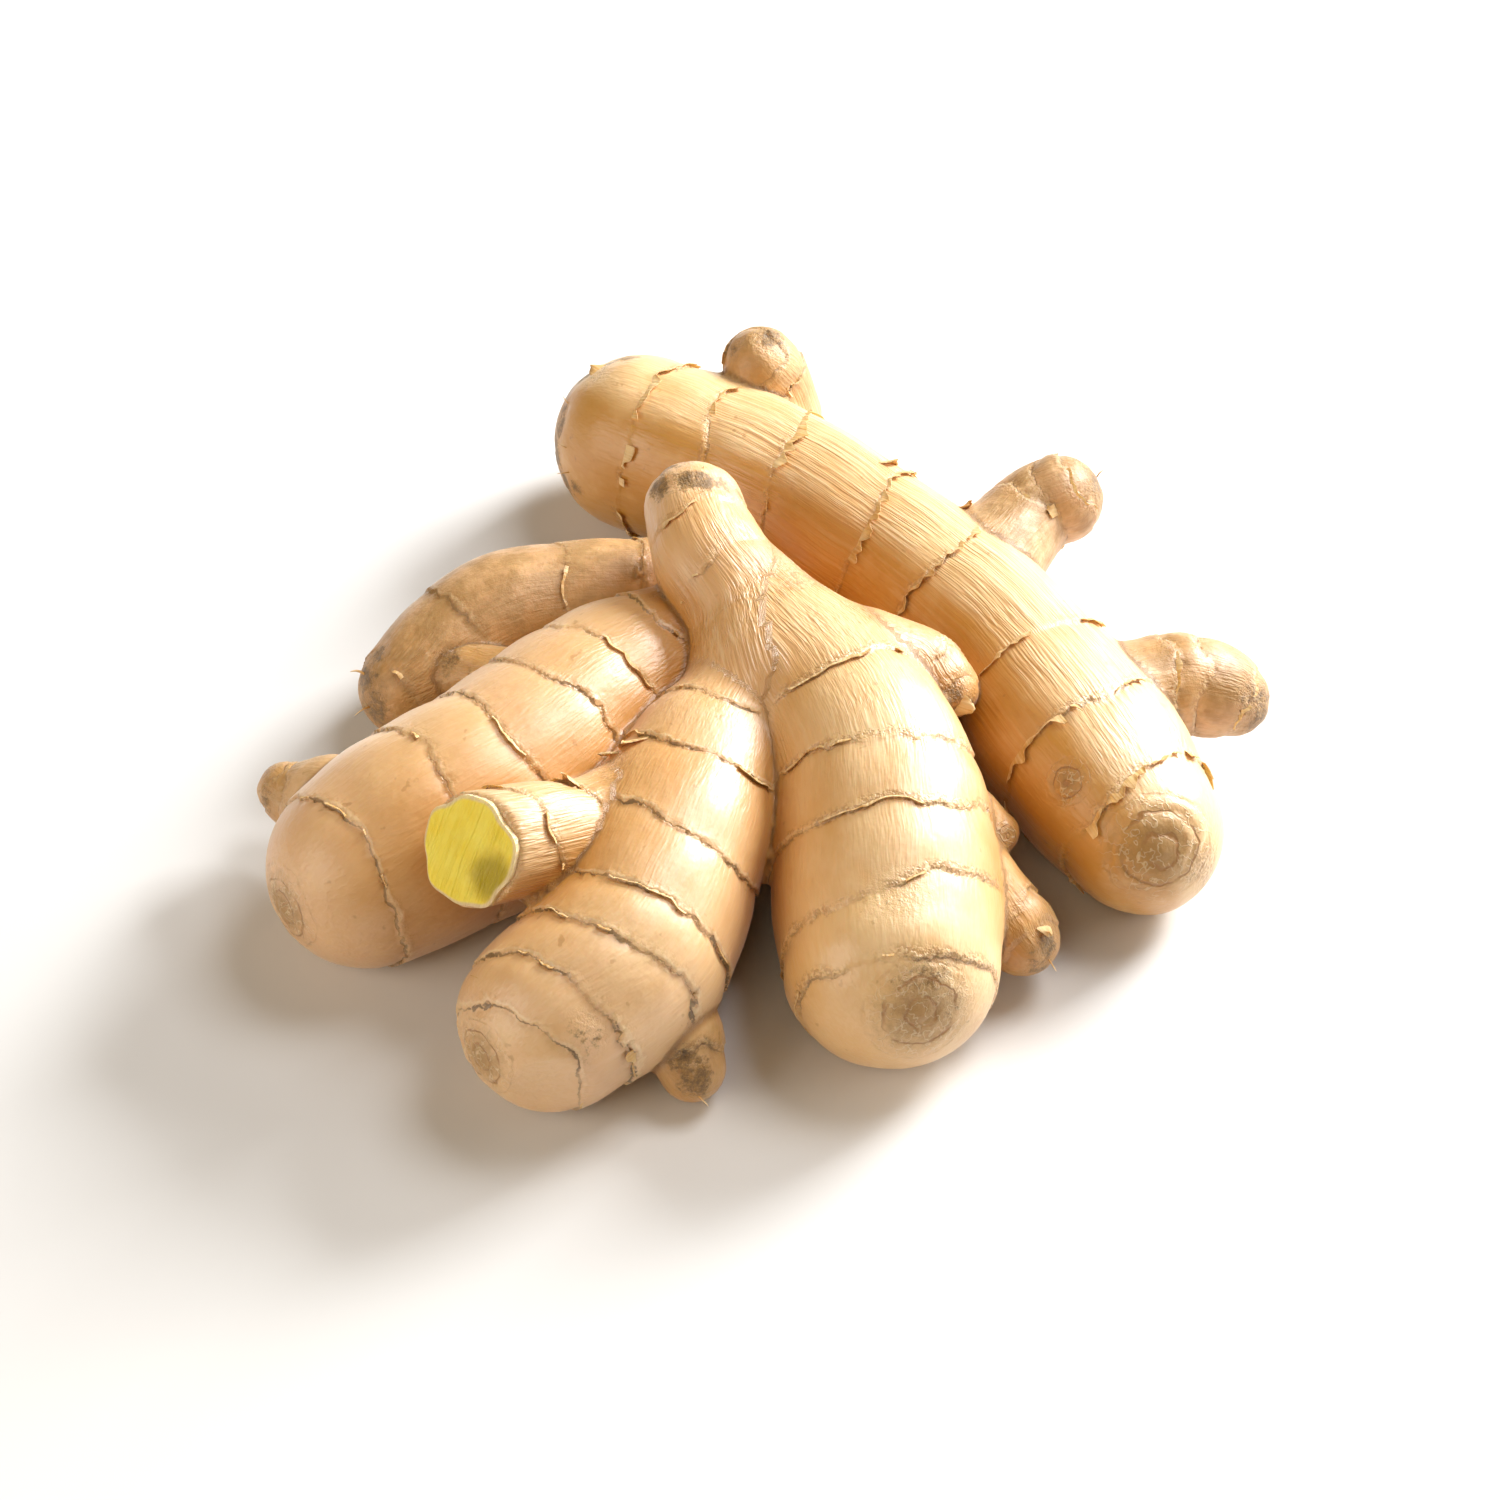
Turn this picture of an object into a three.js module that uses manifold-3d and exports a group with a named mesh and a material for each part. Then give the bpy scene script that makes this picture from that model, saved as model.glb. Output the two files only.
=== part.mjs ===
// A fresh ginger rhizome, lying as it would on a table: one plump branched "hand" that grew as one
// piece. Rounded limbs radiate from a low crown, each ringed by the scars of its scale leaves, with
// small side knobs and one short stub that has been cut through.
// Millimetres, +Z up. The origin is under the middle of the hand, on the surface that it lies on.

import * as THREE from 'three';
import { mergeVertices } from 'three/addons/utils/BufferGeometryUtils.js';
import Module from 'manifold-3d';

// ---------------------------------------------------------------- driving dimensions

const GROUND = 1;                    // height, in the limbs' own frame, of the surface it lies on
const MIDDLE = [3.65, 13.33];        // middle of the hand's footprint in the limbs' own frame
const ROW_STEP = 8;                  // distance between plain rows along a limb
const RING_CLEARANCE = 2.6;          // plain rows keep this far from a ring
const LIP = 0.5;                     // how far the old scale's edge stands up at a ring
const STEP_DOWN = 0.45;              // how far the skin drops just past that edge
const LIP_RISE = 3.2;                // length over which the skin rises to the edge
const STEP_LENGTH = 1.1;             // length of the drop
const BARREL = 0.022;                // how much fuller a joint is half way between two rings
const OVALNESS = 0.022;              // how far a section departs from round
const RING_WAVE = 0.7;               // how far a ring wanders along the limb
const CAP_ANGLES = [20, 42, 63, 80]; // degrees at which the rounded ends have their rows
const FACET_SWELL = 0.6;             // share of the flats' shortfall that the corners make up

// The stub's cut: a point on the face and the way the face looks.
const CUT = {
  point: [-47.9, -43.4, 39.3],
  facing: [-0.57, -0.65, 0.5],
};

// Every limb is a rounded finger along its spine of [x, y, z, radius], from where it grows to its
// tip. A ring is [distance along the spine, lean over the top, lean towards the side].
const LIMBS = [
  {
    name: 'back arm',
    sides: 20,
    spine: [
      [-21, 84, 18, 18.3], [-5.5, 75.5, 18, 17.8], [11, 63.5, 18, 17], [30, 45, 17.5, 17],
      [46.5, 24, 18, 17.5], [60.7, -0.8, 17.5, 18], [70.3, -18.7, 16.2, 15],
    ],
    rings: [[4, 0, 0], [18, 0, 3], [34, 0, 6], [57, 0, 6], [77, 0, 3], [103, 0, 2], [121, 0, 2], [138, 0, 2]],
  },
  {
    name: 'neck',
    sides: 16,
    spine: [[-10.5, 38.5, 42, 9.2], [-7.3, 27, 39.7, 10.3], [-0.3, 15.5, 35, 10.4], [3.5, 2.5, 31, 12.5]],
    rings: [[5, 1, 2], [16, 0, 2], [28, -2, 3]],
  },
  {
    name: 'right finger',
    sides: 20,
    spine: [
      [-1.5, 22.5, 36.3, 9.5], [3.5, 16.5, 33, 12], [14.5, 1, 30, 16], [21.9, -17, 26, 18.7],
      [23.7, -34.5, 21.3, 19.7], [24.4, -50, 18, 18.5],
    ],
    rings: [[30.5, 0, 0], [46.5, 1, -1], [59.5, 1, 3], [76.5, 0, 5], [89.5, 0, 1]],
  },
  {
    name: 'left finger',
    sides: 20,
    spine: [
      [2, 7, 33, 8], [-3.2, -2, 29.6, 9.5], [-7.5, -12, 27, 14.2], [-14.5, -31, 24, 17.5],
      [-21, -48, 20, 18.3], [-27.5, -56, 18.2, 17.6], [-33.4, -61, 17, 16.4],
    ],
    rings: [[15, 0, 0], [27, 2, -1], [42, 3, -3], [57, 1, -2], [70, -1, 4], [81, -1, 5], [89, 0, 4]],
  },
  {
    name: 'left front arm',
    sides: 20,
    spine: [
      [-1, 26.5, 20, 11], [-13, 19.5, 23, 13], [-27.5, 7, 23, 17], [-43.2, -9.9, 20.4, 20.2],
      [-56.5, -20, 19.5, 20.4], [-67.5, -28, 17.8, 18.4],
    ],
    rings: [[20, 0, 0], [32, 0, 1], [44, 0, 1], [59, 0, 1], [73, 0, 1], [93, -3, 2]],
  },
  {
    name: 'left back arm',
    sides: 16,
    spine: [
      [-8, 46, 14.5, 11.3], [-21, 39, 17, 11.9], [-36.3, 37.6, 17, 12.5], [-48.6, 34, 16, 13.3],
      [-57.3, 28, 14.2, 11.9], [-63.8, 21.8, 12.5, 10.3],
    ],
    rings: [[15, 0, 0], [29, 0, 0], [50, 0, 0]],
  },
  { name: 'crown', sides: 16, spine: [[4.5, 16, 25, 13], [15, 34, 11, 9], [21, 42, 10, 10]], rings: [] },
  { name: 'crown back', sides: 14, spine: [[-8, 30, 14, 13], [2, 38, 12, 12]], rings: [] },
  {
    name: 'stub',
    sides: 16,
    spine: [
      [-19.5, -26.5, 28.5, 10], [-28, -31, 31.6, 8.5], [-37, -37, 35.5, 9.3], [-46.5, -42.8, 39, 9.9],
      [-55, -48, 42, 9.6],
    ],
    rings: [[15, 0, 0]],
  },
  {
    name: 'top knob',
    sides: 14,
    upright: true,
    spine: [[7, 91.5, 20, 7.5], [4.5, 93.5, 27, 7.8], [2, 92, 32, 7.4]],
    rings: [[9, 0, 0]],
  },
  {
    name: 'right knob',
    sides: 14,
    spine: [[47, 47.5, 22, 10.5], [55, 57.5, 24, 8.8], [60, 59, 26, 8.8]],
    rings: [[16, 0, 0]],
  },
  {
    name: 'far knob',
    sides: 14,
    spine: [[69.5, 13, 18.5, 10.5], [79, 15.5, 18.8, 9.8], [86.5, 15.5, 17.4, 8.7], [89.8, 15, 16, 7.2]],
    rings: [[13, 0, 0]],
  },
  {
    name: 'left tip knob',
    sides: 12,
    spine: [[-16, -56, 16, 8], [-12, -61, 11, 6.8], [-10.2, -65.3, 8, 6]],
    rings: [],
  },
  {
    name: 'right tip knob',
    sides: 12,
    spine: [[41, -33.5, 17, 7.4], [45.5, -37.2, 14, 7.2], [48, -39.7, 12, 6.7]],
    rings: [],
  },
  { name: 'right bud', sides: 10, spine: [[40, -19.5, 22, 4], [44.5, -22, 20, 3.5]], rings: [] },
  {
    name: 'shoulder knob',
    sides: 12,
    spine: [[22.5, 9.5, 33, 8], [31, 7.5, 33, 6.6], [35.5, 3, 31, 5.4]],
    rings: [],
  },
  {
    name: 'left knob',
    sides: 12,
    spine: [[-76, -12.5, 18, 8], [-81.5, -10, 16, 6], [-84.5, -8, 16, 5.2]],
    rings: [],
  },
  {
    name: 'left nub',
    sides: 10,
    spine: [[-44.5, 15, 20, 6.5], [-52.5, 18, 20, 4.5], [-55.5, 18.5, 19, 4]],
    rings: [],
  },
];

// ---------------------------------------------------------------- one limb

const UP = new THREE.Vector3(0, 0, 1);
const AWAY = new THREE.Vector3(0, 1, 0);

// The spine as two smooth curves over the same points: its places, and its radii as x.
function spineCurves(limb) {
  const places = limb.spine.map(([x, y, z]) => new THREE.Vector3(x, y, z));
  const radii = limb.spine.map((point) => new THREE.Vector3(point[3], 0, 0));
  const path = new THREE.CatmullRomCurve3(places, false, 'catmullrom');
  path.arcLengthDivisions = 400;
  return { path, radii: new THREE.CatmullRomCurve3(radii, false, 'catmullrom'), length: path.getLength() };
}

// Radius of the plain finger at a distance along it, with a rounded cap past either end.
function plainRadius(curves, distance) {
  const inside = THREE.MathUtils.clamp(distance / curves.length, 0, 1);
  const radius = curves.radii.getPoint(curves.path.getUtoTmapping(inside)).x;
  const beyond = distance - inside * curves.length;
  return Math.sqrt(Math.max(radius * radius - beyond * beyond, 0));
}

// How far the skin stands off the plain finger: fuller between rings, with a raised edge and a
// step down at each ring.
function relief(limb, curves, distance) {
  let lift = 0;
  const places = limb.rings.map((ring) => ring[0]);
  const next = places.findIndex((place) => place > distance);
  if (next > 0) {
    const share = (distance - places[next - 1]) / (places[next] - places[next - 1]);
    lift += BARREL * plainRadius(curves, distance) * Math.sin(Math.PI * share);
  }
  for (const place of places) {
    const past = distance - place;
    if (past <= 0) lift += LIP * Math.exp(past / (LIP_RISE / 2));
    if (past > 0) lift -= STEP_DOWN * Math.exp(-past / LIP_RISE);
  }
  return lift;
}

// Distances along the limb at which it has a row of corners.
function rowPlaces(limb, curves) {
  const first = limb.spine[0][3];
  const last = limb.spine[limb.spine.length - 1][3];
  const inCap = (radius) => CAP_ANGLES.map((angle) => radius * Math.sin(THREE.MathUtils.degToRad(angle)));
  const plain = [
    ...inCap(first).map((place) => -place),
    ...inCap(last).map((place) => curves.length + place),
  ];
  const steps = Math.max(1, Math.round(curves.length / ROW_STEP));
  for (let i = 0; i <= steps; i += 1) plain.push((curves.length * i) / steps);
  const rows = plain.filter((row) => limb.rings.every((ring) => Math.abs(row - ring[0]) > RING_CLEARANCE));
  for (const [place] of limb.rings) rows.push(place - LIP_RISE / 2, place, place + STEP_LENGTH);
  return rows.sort((a, b) => a - b);
}

// How far a ring leans and wanders along the limb at an angle round it.
function ringShift([place, overTop, toSide], angle) {
  const wave = Math.sin(3 * angle + place) + 0.6 * Math.sin(5 * angle + 2.3 * place);
  return overTop * Math.cos(angle) + toSide * Math.sin(angle) + RING_WAVE * wave;
}

// The same shift anywhere along the limb: it runs evenly from ring to ring and fades to both ends.
function rowShift(limb, curves, distance, angle) {
  const start = -limb.spine[0][3];
  const end = curves.length + limb.spine[limb.spine.length - 1][3];
  const stops = [[start, 0], ...limb.rings.map((ring) => [ring[0], ringShift(ring, angle)]), [end, 0]];
  const next = stops.findIndex((stop, index) => index > 0 && stop[0] >= distance - 1e-6);
  const [from, fromShift] = stops[next - 1];
  const [to, toShift] = stops[next];
  return THREE.MathUtils.lerp(fromShift, toShift, (distance - from) / (to - from));
}

// Moves one corner of the straight turned finger to its place round the spine.
function bend(limb, curves, corner) {
  const angle = Math.atan2(corner.x, corner.z);
  const uneven = Math.sin(2 * angle + corner.y / 23) + 0.6 * Math.sin(3 * angle - corner.y / 17);
  const radius = Math.hypot(corner.x, corner.z) * (1 + OVALNESS * uneven);
  const distance = corner.y + (radius > 0 ? rowShift(limb, curves, corner.y, angle) : 0);
  const inside = THREE.MathUtils.clamp(distance / curves.length, 0, 1);
  const along = curves.path.getTangentAt(inside);
  const top = (limb.upright ? AWAY : UP).clone().projectOnPlane(along).normalize();
  const side = new THREE.Vector3().crossVectors(along, top);
  return curves.path.getPointAt(inside)
    .addScaledVector(along, distance - inside * curves.length)
    .addScaledVector(top, radius * Math.cos(angle))
    .addScaledVector(side, radius * Math.sin(angle));
}

function limbGeometry(limb) {
  const curves = spineCurves(limb);
  const rows = rowPlaces(limb, curves);
  const swell = 1 + FACET_SWELL * (1 / Math.cos(Math.PI / limb.sides) - 1);
  const radiusAt = (row) => swell * (plainRadius(curves, row) + relief(limb, curves, row));
  const profile = rows.map((row) => new THREE.Vector2(radiusAt(row), row));
  profile.unshift(new THREE.Vector2(0, -limb.spine[0][3]));
  profile.push(new THREE.Vector2(0, curves.length + limb.spine[limb.spine.length - 1][3]));
  const geometry = new THREE.LatheGeometry(profile, limb.sides);
  const position = geometry.attributes.position;
  const corner = new THREE.Vector3();
  for (let i = 0; i < position.count; i += 1) {
    corner.fromBufferAttribute(position, i);
    if (Math.hypot(corner.x, corner.z) < 1e-6) corner.set(0, corner.y, 0);
    const place = bend(limb, curves, corner);
    position.setXYZ(i, place.x, place.y, place.z);
  }
  return geometry;
}

// ---------------------------------------------------------------- joins and cuts

const wasm = await Module();
wasm.setup();

// A closed three.js geometry as a solid that can be joined and cut.
function solidOf(geometry) {
  geometry.deleteAttribute('normal');
  geometry.deleteAttribute('uv');
  const merged = mergeVertices(geometry, 1e-4);
  const corners = merged.index.array;
  return new wasm.Manifold(new wasm.Mesh({
    numProp: 3,
    vertProperties: new Float32Array(merged.attributes.position.array),
    triVerts: new Uint32Array(corners),
  }));
}

// A block whose one face is the stub's cut, standing on the side that is cut away.
function cutBlock() {
  const size = 60;
  const block = new THREE.BoxGeometry(size, size, size);
  const facing = new THREE.Vector3(...CUT.facing).normalize();
  block.translate(0, 0, size / 2);
  block.applyQuaternion(new THREE.Quaternion().setFromUnitVectors(UP, facing));
  block.translate(...CUT.point);
  return solidOf(block);
}

// A block below the surface that the rhizome lies on, which flattens the undersides that touch it.
function groundBlock() {
  const size = 400;
  const block = new THREE.BoxGeometry(size, size, size);
  block.translate(0, 0, GROUND - size / 2);
  return solidOf(block);
}

function rhizomeSolid() {
  const cut = cutBlock();
  const limbs = LIMBS.map((limb) => {
    const solid = solidOf(limbGeometry(limb));
    return limb.name === 'stub' ? solid.subtract(cut) : solid;
  });
  return limbs.reduce((whole, solid) => whole.add(solid)).subtract(groundBlock());
}

function geometryOf(solid) {
  const mesh = solid.getMesh();
  const geometry = new THREE.BufferGeometry();
  geometry.setAttribute('position', new THREE.BufferAttribute(new Float32Array(mesh.vertProperties), 3));
  geometry.setIndex(new THREE.BufferAttribute(new Uint32Array(mesh.triVerts), 1));
  geometry.translate(-MIDDLE[0], -MIDDLE[1], -GROUND);
  geometry.computeVertexNormals();
  return geometry;
}

// ---------------------------------------------------------------- the object

const skin = new THREE.MeshStandardMaterial({ color: 0xdcb47f, roughness: 0.5, metalness: 0 });
const rhizome = new THREE.Mesh(geometryOf(rhizomeSolid()), skin);
rhizome.name = 'ginger_rhizome';

const group = new THREE.Group();
group.add(rhizome);

export default group;
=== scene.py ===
"""A fresh ginger rhizome: its ringed, fibrous skin, the yellow face of its cut stub, the ragged
scales at its rings, its root threads, and a plain studio round it.

Lengths in the tables below are millimetres in the limbs' own frame; the meshes are in metres.
"""

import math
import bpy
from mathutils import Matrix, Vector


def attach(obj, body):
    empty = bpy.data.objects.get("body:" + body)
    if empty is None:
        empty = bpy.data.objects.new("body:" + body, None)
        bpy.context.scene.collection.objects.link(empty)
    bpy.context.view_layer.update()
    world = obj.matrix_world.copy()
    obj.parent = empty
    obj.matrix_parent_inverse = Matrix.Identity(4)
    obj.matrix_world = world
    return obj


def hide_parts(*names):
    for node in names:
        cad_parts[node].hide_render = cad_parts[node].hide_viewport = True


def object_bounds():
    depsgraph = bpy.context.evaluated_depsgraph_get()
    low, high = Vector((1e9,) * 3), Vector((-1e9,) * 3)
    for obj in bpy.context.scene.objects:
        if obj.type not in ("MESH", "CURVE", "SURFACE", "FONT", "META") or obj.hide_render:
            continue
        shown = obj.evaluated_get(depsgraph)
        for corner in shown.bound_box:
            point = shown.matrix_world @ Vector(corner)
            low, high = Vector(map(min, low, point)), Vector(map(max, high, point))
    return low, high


bl_info = {
    "name": "Ginger rhizome",
    "version": (1, 0, 0),
    "blender": (4, 5, 0),
    "location": "3D View > Sidebar > Ginger",
    "description": "Dresses a ginger rhizome and lights it in a plain studio",
    "category": "Object",
}

import bpy
import numpy as np
from bpy.props import FloatProperty, FloatVectorProperty, PointerProperty
from mathutils import Vector

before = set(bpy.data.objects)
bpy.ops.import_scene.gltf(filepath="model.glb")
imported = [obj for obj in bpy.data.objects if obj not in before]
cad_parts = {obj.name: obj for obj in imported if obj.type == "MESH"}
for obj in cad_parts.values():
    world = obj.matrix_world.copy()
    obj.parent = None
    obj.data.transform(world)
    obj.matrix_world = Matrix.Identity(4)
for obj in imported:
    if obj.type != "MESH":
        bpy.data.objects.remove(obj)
CAD_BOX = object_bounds()
BODY = "root"
NODE = "ginger_rhizome"
MM = 0.001

# ------------------------------------------------------------------ the limbs, as in the solids

GROUND = 1.0  # height of the table
MIDDLE = (3.65, 13.33)  # middle of the footprint
CUT_POINT = np.array([-47.9, -43.4, 39.3])  # a point on the stub's cut
CUT_FACING = np.array([-0.57, -0.65, 0.5])  # the way that the cut looks
CUT_FACING /= np.linalg.norm(CUT_FACING)
CUT_INSET = 0.8  # how far behind the flesh the skin ends

# spine: x, y, z, radius. rings: distance along the spine, lean over the top, lean to the side.
# dark: how dark its ring lines are. even: how unbroken they are. band: how wide the brown stipple
# at its rings is. fibre: how strongly lengthwise fibres show, as distance and strength. ragged:
# how far the old scales' edges stick out. hue: how strongly golden painted shade lies on its shaded
# side and underside, how pink its skin is, and how much paler tint it takes. tone: how brown and
# dry it is; this brown is partly painted shade, darkening limbs that sit in shade. large: painted
# shade darkens the hollows beside it. upright: its top is towards +Y.
LIMBS = {
    "back arm": dict(
        spine=[(-21, 84, 18, 18.3), (-5.5, 75.5, 18, 17.8), (11, 63.5, 18, 17), (30, 45, 17.5, 17),
               (46.5, 24, 18, 17.5), (60.7, -0.8, 17.5, 18), (70.3, -18.7, 16.2, 15)],
        rings=[(4, 0, 0), (18, 0, 3), (34, 0, 6), (57, 0, 6), (77, 0, 3), (103, 0, 2), (121, 0, 2),
               (138, 0, 2)],
        dark=0.6, even=0.3, band=0.7,
        fibre=[(8, 0.1), (24, 0.75), (45, 1), (110, 0.9), (132, 0.35), (142, 0.1)], ragged=1.3,
        hue=(0.95, 0, 0.6), large=True),
    "neck": dict(
        spine=[(-10.5, 38.5, 42, 9.2), (-7.3, 27, 39.7, 10.3), (-0.3, 15.5, 35, 10.4), (3.5, 2.5, 31, 12.5)],
        rings=[(5, 1, 2), (16, 0, 2), (28, -2, 3)],
        dark=0.35, even=-0.25, band=0.5, fibre=[(0, 0.2), (12, 0.6), (28, 0.9)], ragged=0.5,
        hue=(0.1, 0.35, 0.4), large=True),
    "right finger": dict(
        spine=[(-1.5, 22.5, 36.3, 9.5), (3.5, 16.5, 33, 12), (14.5, 1, 30, 16), (21.9, -17, 26, 18.7),
               (23.7, -34.5, 21.3, 19.7), (24.4, -50, 18, 18.5)],
        rings=[(30.5, 0, 0), (46.5, 1, -1), (59.5, 1, 3), (76.5, 0, 5), (89.5, 0, 1)],
        dark=0.6, even=0.6, band=0.9, fibre=[(12, 0.95), (30, 0.55), (44, 0.22), (58, 0.06)], ragged=0.25,
        hue=(0.35, 0.05, 0.7), large=True),
    "left finger": dict(
        spine=[(2, 7, 33, 8), (-3.2, -2, 29.6, 9.5), (-7.5, -12, 27, 14.2), (-14.5, -31, 24, 17.5),
               (-21, -48, 20, 18.3), (-27.5, -56, 18.2, 17.6), (-33.4, -61, 17, 16.4)],
        rings=[(15, 0, 0), (27, 2, -1), (42, 3, -3), (57, 1, -2), (70, -1, 4), (81, -1, 5), (89, 0, 4)],
        dark=1.0, even=0.65, band=0.2, fibre=[(0, 0.5), (22, 0.15), (36, 0.04)], ragged=0.15,
        hue=(0.15, 0.45, 0.6), large=True),
    "left front arm": dict(
        spine=[(-1, 26.5, 20, 11), (-13, 19.5, 23, 13), (-27.5, 7, 23, 17), (-43.2, -9.9, 20.4, 20.2),
               (-56.5, -20, 19.5, 20.4), (-67.5, -28, 17.8, 18.4)],
        rings=[(20, 0, 0), (32, 0, 1), (44, 0, 1), (59, 0, 1), (73, 0, 1), (93, -3, 2)],
        dark=0.8, even=0.7, band=0.25, fibre=[(20, 0.25), (60, 0.06)], ragged=0.2,
        hue=(0.05, 0.6, 0.4), large=True),
    "left back arm": dict(
        spine=[(-8, 46, 14.5, 11.3), (-21, 39, 17, 11.9), (-36.3, 37.6, 17, 12.5), (-48.6, 34, 16, 13.3),
               (-57.3, 28, 14.2, 11.9), (-63.8, 21.8, 12.5, 10.3)],
        rings=[(15, 0, 0), (29, 0, 0), (50, 0, 0), (66, 0, 0)],
        dark=0.5, even=0.45, band=0.3, fibre=[(20, 0.15), (50, 0.1), (64, 0.5)], ragged=0.25, tone=0.75,
        hue=(0.5, 0.6, 0), large=True),
    "crown": dict(
        spine=[(4.5, 16, 25, 13), (15, 34, 11, 9), (21, 42, 10, 10)],
        rings=[], dark=0.3, even=0.5, band=0.3, fibre=[(0, 0.4)], ragged=0.3,
        hue=(0.4, 0, 0), large=True),
    "crown back": dict(
        spine=[(-8, 30, 14, 13), (2, 38, 12, 12)],
        rings=[], dark=0.3, even=0.5, band=0.3, fibre=[(0, 0.4)], ragged=0.3,
        hue=(0.4, 0, 0), large=True),
    "stub": dict(
        spine=[(-19.5, -26.5, 28.5, 10), (-28, -31, 31.6, 8.5), (-37, -37, 35.5, 9.3),
               (-46.5, -42.8, 39, 9.9), (-55, -48, 42, 9.6)],
        rings=[(13, 0, 2), (24, 2, 3)], dark=0.6, even=0.3, band=0.6, fibre=[(0, 0.6), (30, 0.9)], ragged=0.4,
        hue=(0, 0.2, 0.7), large=True),
    "top knob": dict(
        spine=[(7, 91.5, 20, 7.5), (4.5, 93.5, 27, 7.8), (2, 92, 32, 7.4)],
        rings=[(9, 0, 0), (17, 1, 0)], dark=0.9, even=0.8, band=0.4, fibre=[(0, 0.3)], ragged=0.3,
        tone=0.6, upright=True, hue=(0.8, 0.2, 0)),
    "right knob": dict(
        spine=[(47, 47.5, 22, 10.5), (55, 57.5, 24, 8.8), (60, 59, 26, 8.8)],
        rings=[(10, 0, 1), (16, 0, 0), (22, 0, 1)],
        dark=0.8, even=0.7, band=0.6, fibre=[(0, 0.3)], ragged=0.15, tone=0.85, hue=(0.3, 0.5, 0)),
    "far knob": dict(
        spine=[(69.5, 13, 18.5, 10.5), (79, 15.5, 18.8, 9.8), (86.5, 15.5, 17.4, 8.7), (89.8, 15, 16, 7.2)],
        rings=[(8, 0, 0), (13, 0, 0), (21, 1, 1)],
        dark=0.9, even=0.7, band=0.7, fibre=[(8, 0.2), (20, 0.5)], ragged=0.2, tone=0.8,
        hue=(0.3, 0.5, 0)),
    "left tip knob": dict(
        spine=[(-16, -56, 16, 8), (-12, -61, 11, 6.8), (-10.2, -65.3, 8, 6)],
        rings=[(6, 0, 1), (11, 1, 0)], dark=0.8, even=0.7, band=0.8, fibre=[(0, 0.4)], ragged=0.4, tone=0.4,
        hue=(0.9, 0, 0)),
    "right tip knob": dict(
        spine=[(41, -33.5, 17, 7.4), (45.5, -37.2, 14, 7.2), (48, -39.7, 12, 6.7)],
        rings=[(6, 0, 1), (11, 0, 0)], dark=0.7, even=0.6, band=0.7, fibre=[(0, 0.6)], ragged=0.5, tone=0.5,
        hue=(0.4, 0, 0)),
    "right bud": dict(
        spine=[(40, -19.5, 22, 4), (44.5, -22, 20, 3.5)],
        rings=[], dark=0.5, even=0.5, band=0.4, fibre=[(0, 0.3)], ragged=0.3, tone=0.2, hue=(0.3, 0, 0)),
    "shoulder knob": dict(
        spine=[(22.5, 9.5, 33, 8), (31, 7.5, 33, 6.6), (35.5, 3, 31, 5.4)],
        rings=[(12, 0, 0), (17, 0, 0)], dark=0.7, even=0.6, band=0.5, fibre=[(5, 0.6)], ragged=0.4, tone=0.3,
        hue=(0, 0.2, 0.4)),
    "left knob": dict(
        spine=[(-76, -12.5, 18, 8), (-81.5, -10, 16, 6), (-84.5, -8, 16, 5.2)],
        rings=[(6, 0, 0), (11, 0, 0)], dark=0.6, even=0.6, band=0.5, fibre=[(0, 0.3)], ragged=0.4, tone=0.5,
        hue=(0.2, 0.2, 0)),
    "left nub": dict(
        spine=[(-44.5, 15, 20, 6.5), (-52.5, 18, 20, 4.5), (-55.5, 18.5, 19, 4)],
        rings=[(7, 0, 0), (11, 0, 0)], dark=0.5, even=0.6, band=0.5, fibre=[(0, 0.8)], ragged=0.4, tone=0.3,
        hue=(0, 0.2, 0.3)),
}

# Places where the skin is worn, corky or scarred: x, y, z, radius, strength.
SCARS = [
    (-17, 37.5, 49, 3.2, 1.0), (-12, 37, 51, 2.6, 0.9), (-8.5, 37, 51, 3.0, 1.0), (-4.5, 38, 49.5, 2.6, 0.8),
    (-15, 43, 48, 4.5, 0.7), (-2, 38, 46, 2.6, 0.7), (-9, 46, 46, 5.0, 0.6), (-16, 21, 38, 2.2, 0.6),
    (-39, 80, 18.5, 5.0, 1.0), (-37.5, 81, 25, 3.0, 0.8), (-38, 76, 14.5, 4.5, 0.9), (-35, 72, 17, 2.5, 0.6),
    (-37, 84.5, 27, 3.0, 0.7), (-32, 92, 30, 3.6, 0.9), (-28.5, 93, 32, 3.4, 0.8), (-24, 92, 34, 3.4, 0.8),
    (-30, 86, 33, 3.0, 0.5), (-71.5, 19, 17, 3.6, 1.0), (-70.5, 14, 14, 5.0, 0.9), (-69, 22, 20, 3.0, 0.7),
    (4, 92.5, 39, 4.0, 0.9), (-3, 91.5, 37.5, 3.2, 0.6), (67.5, 60, 31, 4.6, 1.0), (64.5, 63, 32, 3.0, 0.6),
    (69, 58, 26, 3.4, 0.7), (95.5, 11.5, 18.5, 4.2, 0.9), (94.5, 9, 15, 3.6, 0.8), (92, 10, 22, 3.0, 0.6),
    (-10.5, -68.5, 13.5, 3.6, 0.9), (-8.5, -70.5, 10, 3.6, 0.9), (-6.5, -66, 14, 3.0, 0.5),
    (52, -44, 15, 3.6, 0.9), (50.5, -46, 11.5, 3.6, 0.8), (36.5, -1.5, 34, 3.0, 0.9), (38, -3, 31, 3.2, 0.9),
    (-88.5, -11.5, 17, 3.2, 0.7), (-88, -6.5, 18.5, 3.0, 0.6), (-56, 17, 23, 2.8, 0.7),
    (-27, -72.5, 26, 5.0, 0.4), (-43, -70, 9, 6.0, 0.6), (24.5, -51, 36.5, 6.0, 0.25),
    (29.5, -63, 28, 5.5, 0.55), (33, -63, 23.5, 5.0, 0.5), (26, -66, 22, 5.0, 0.35),
]

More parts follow.
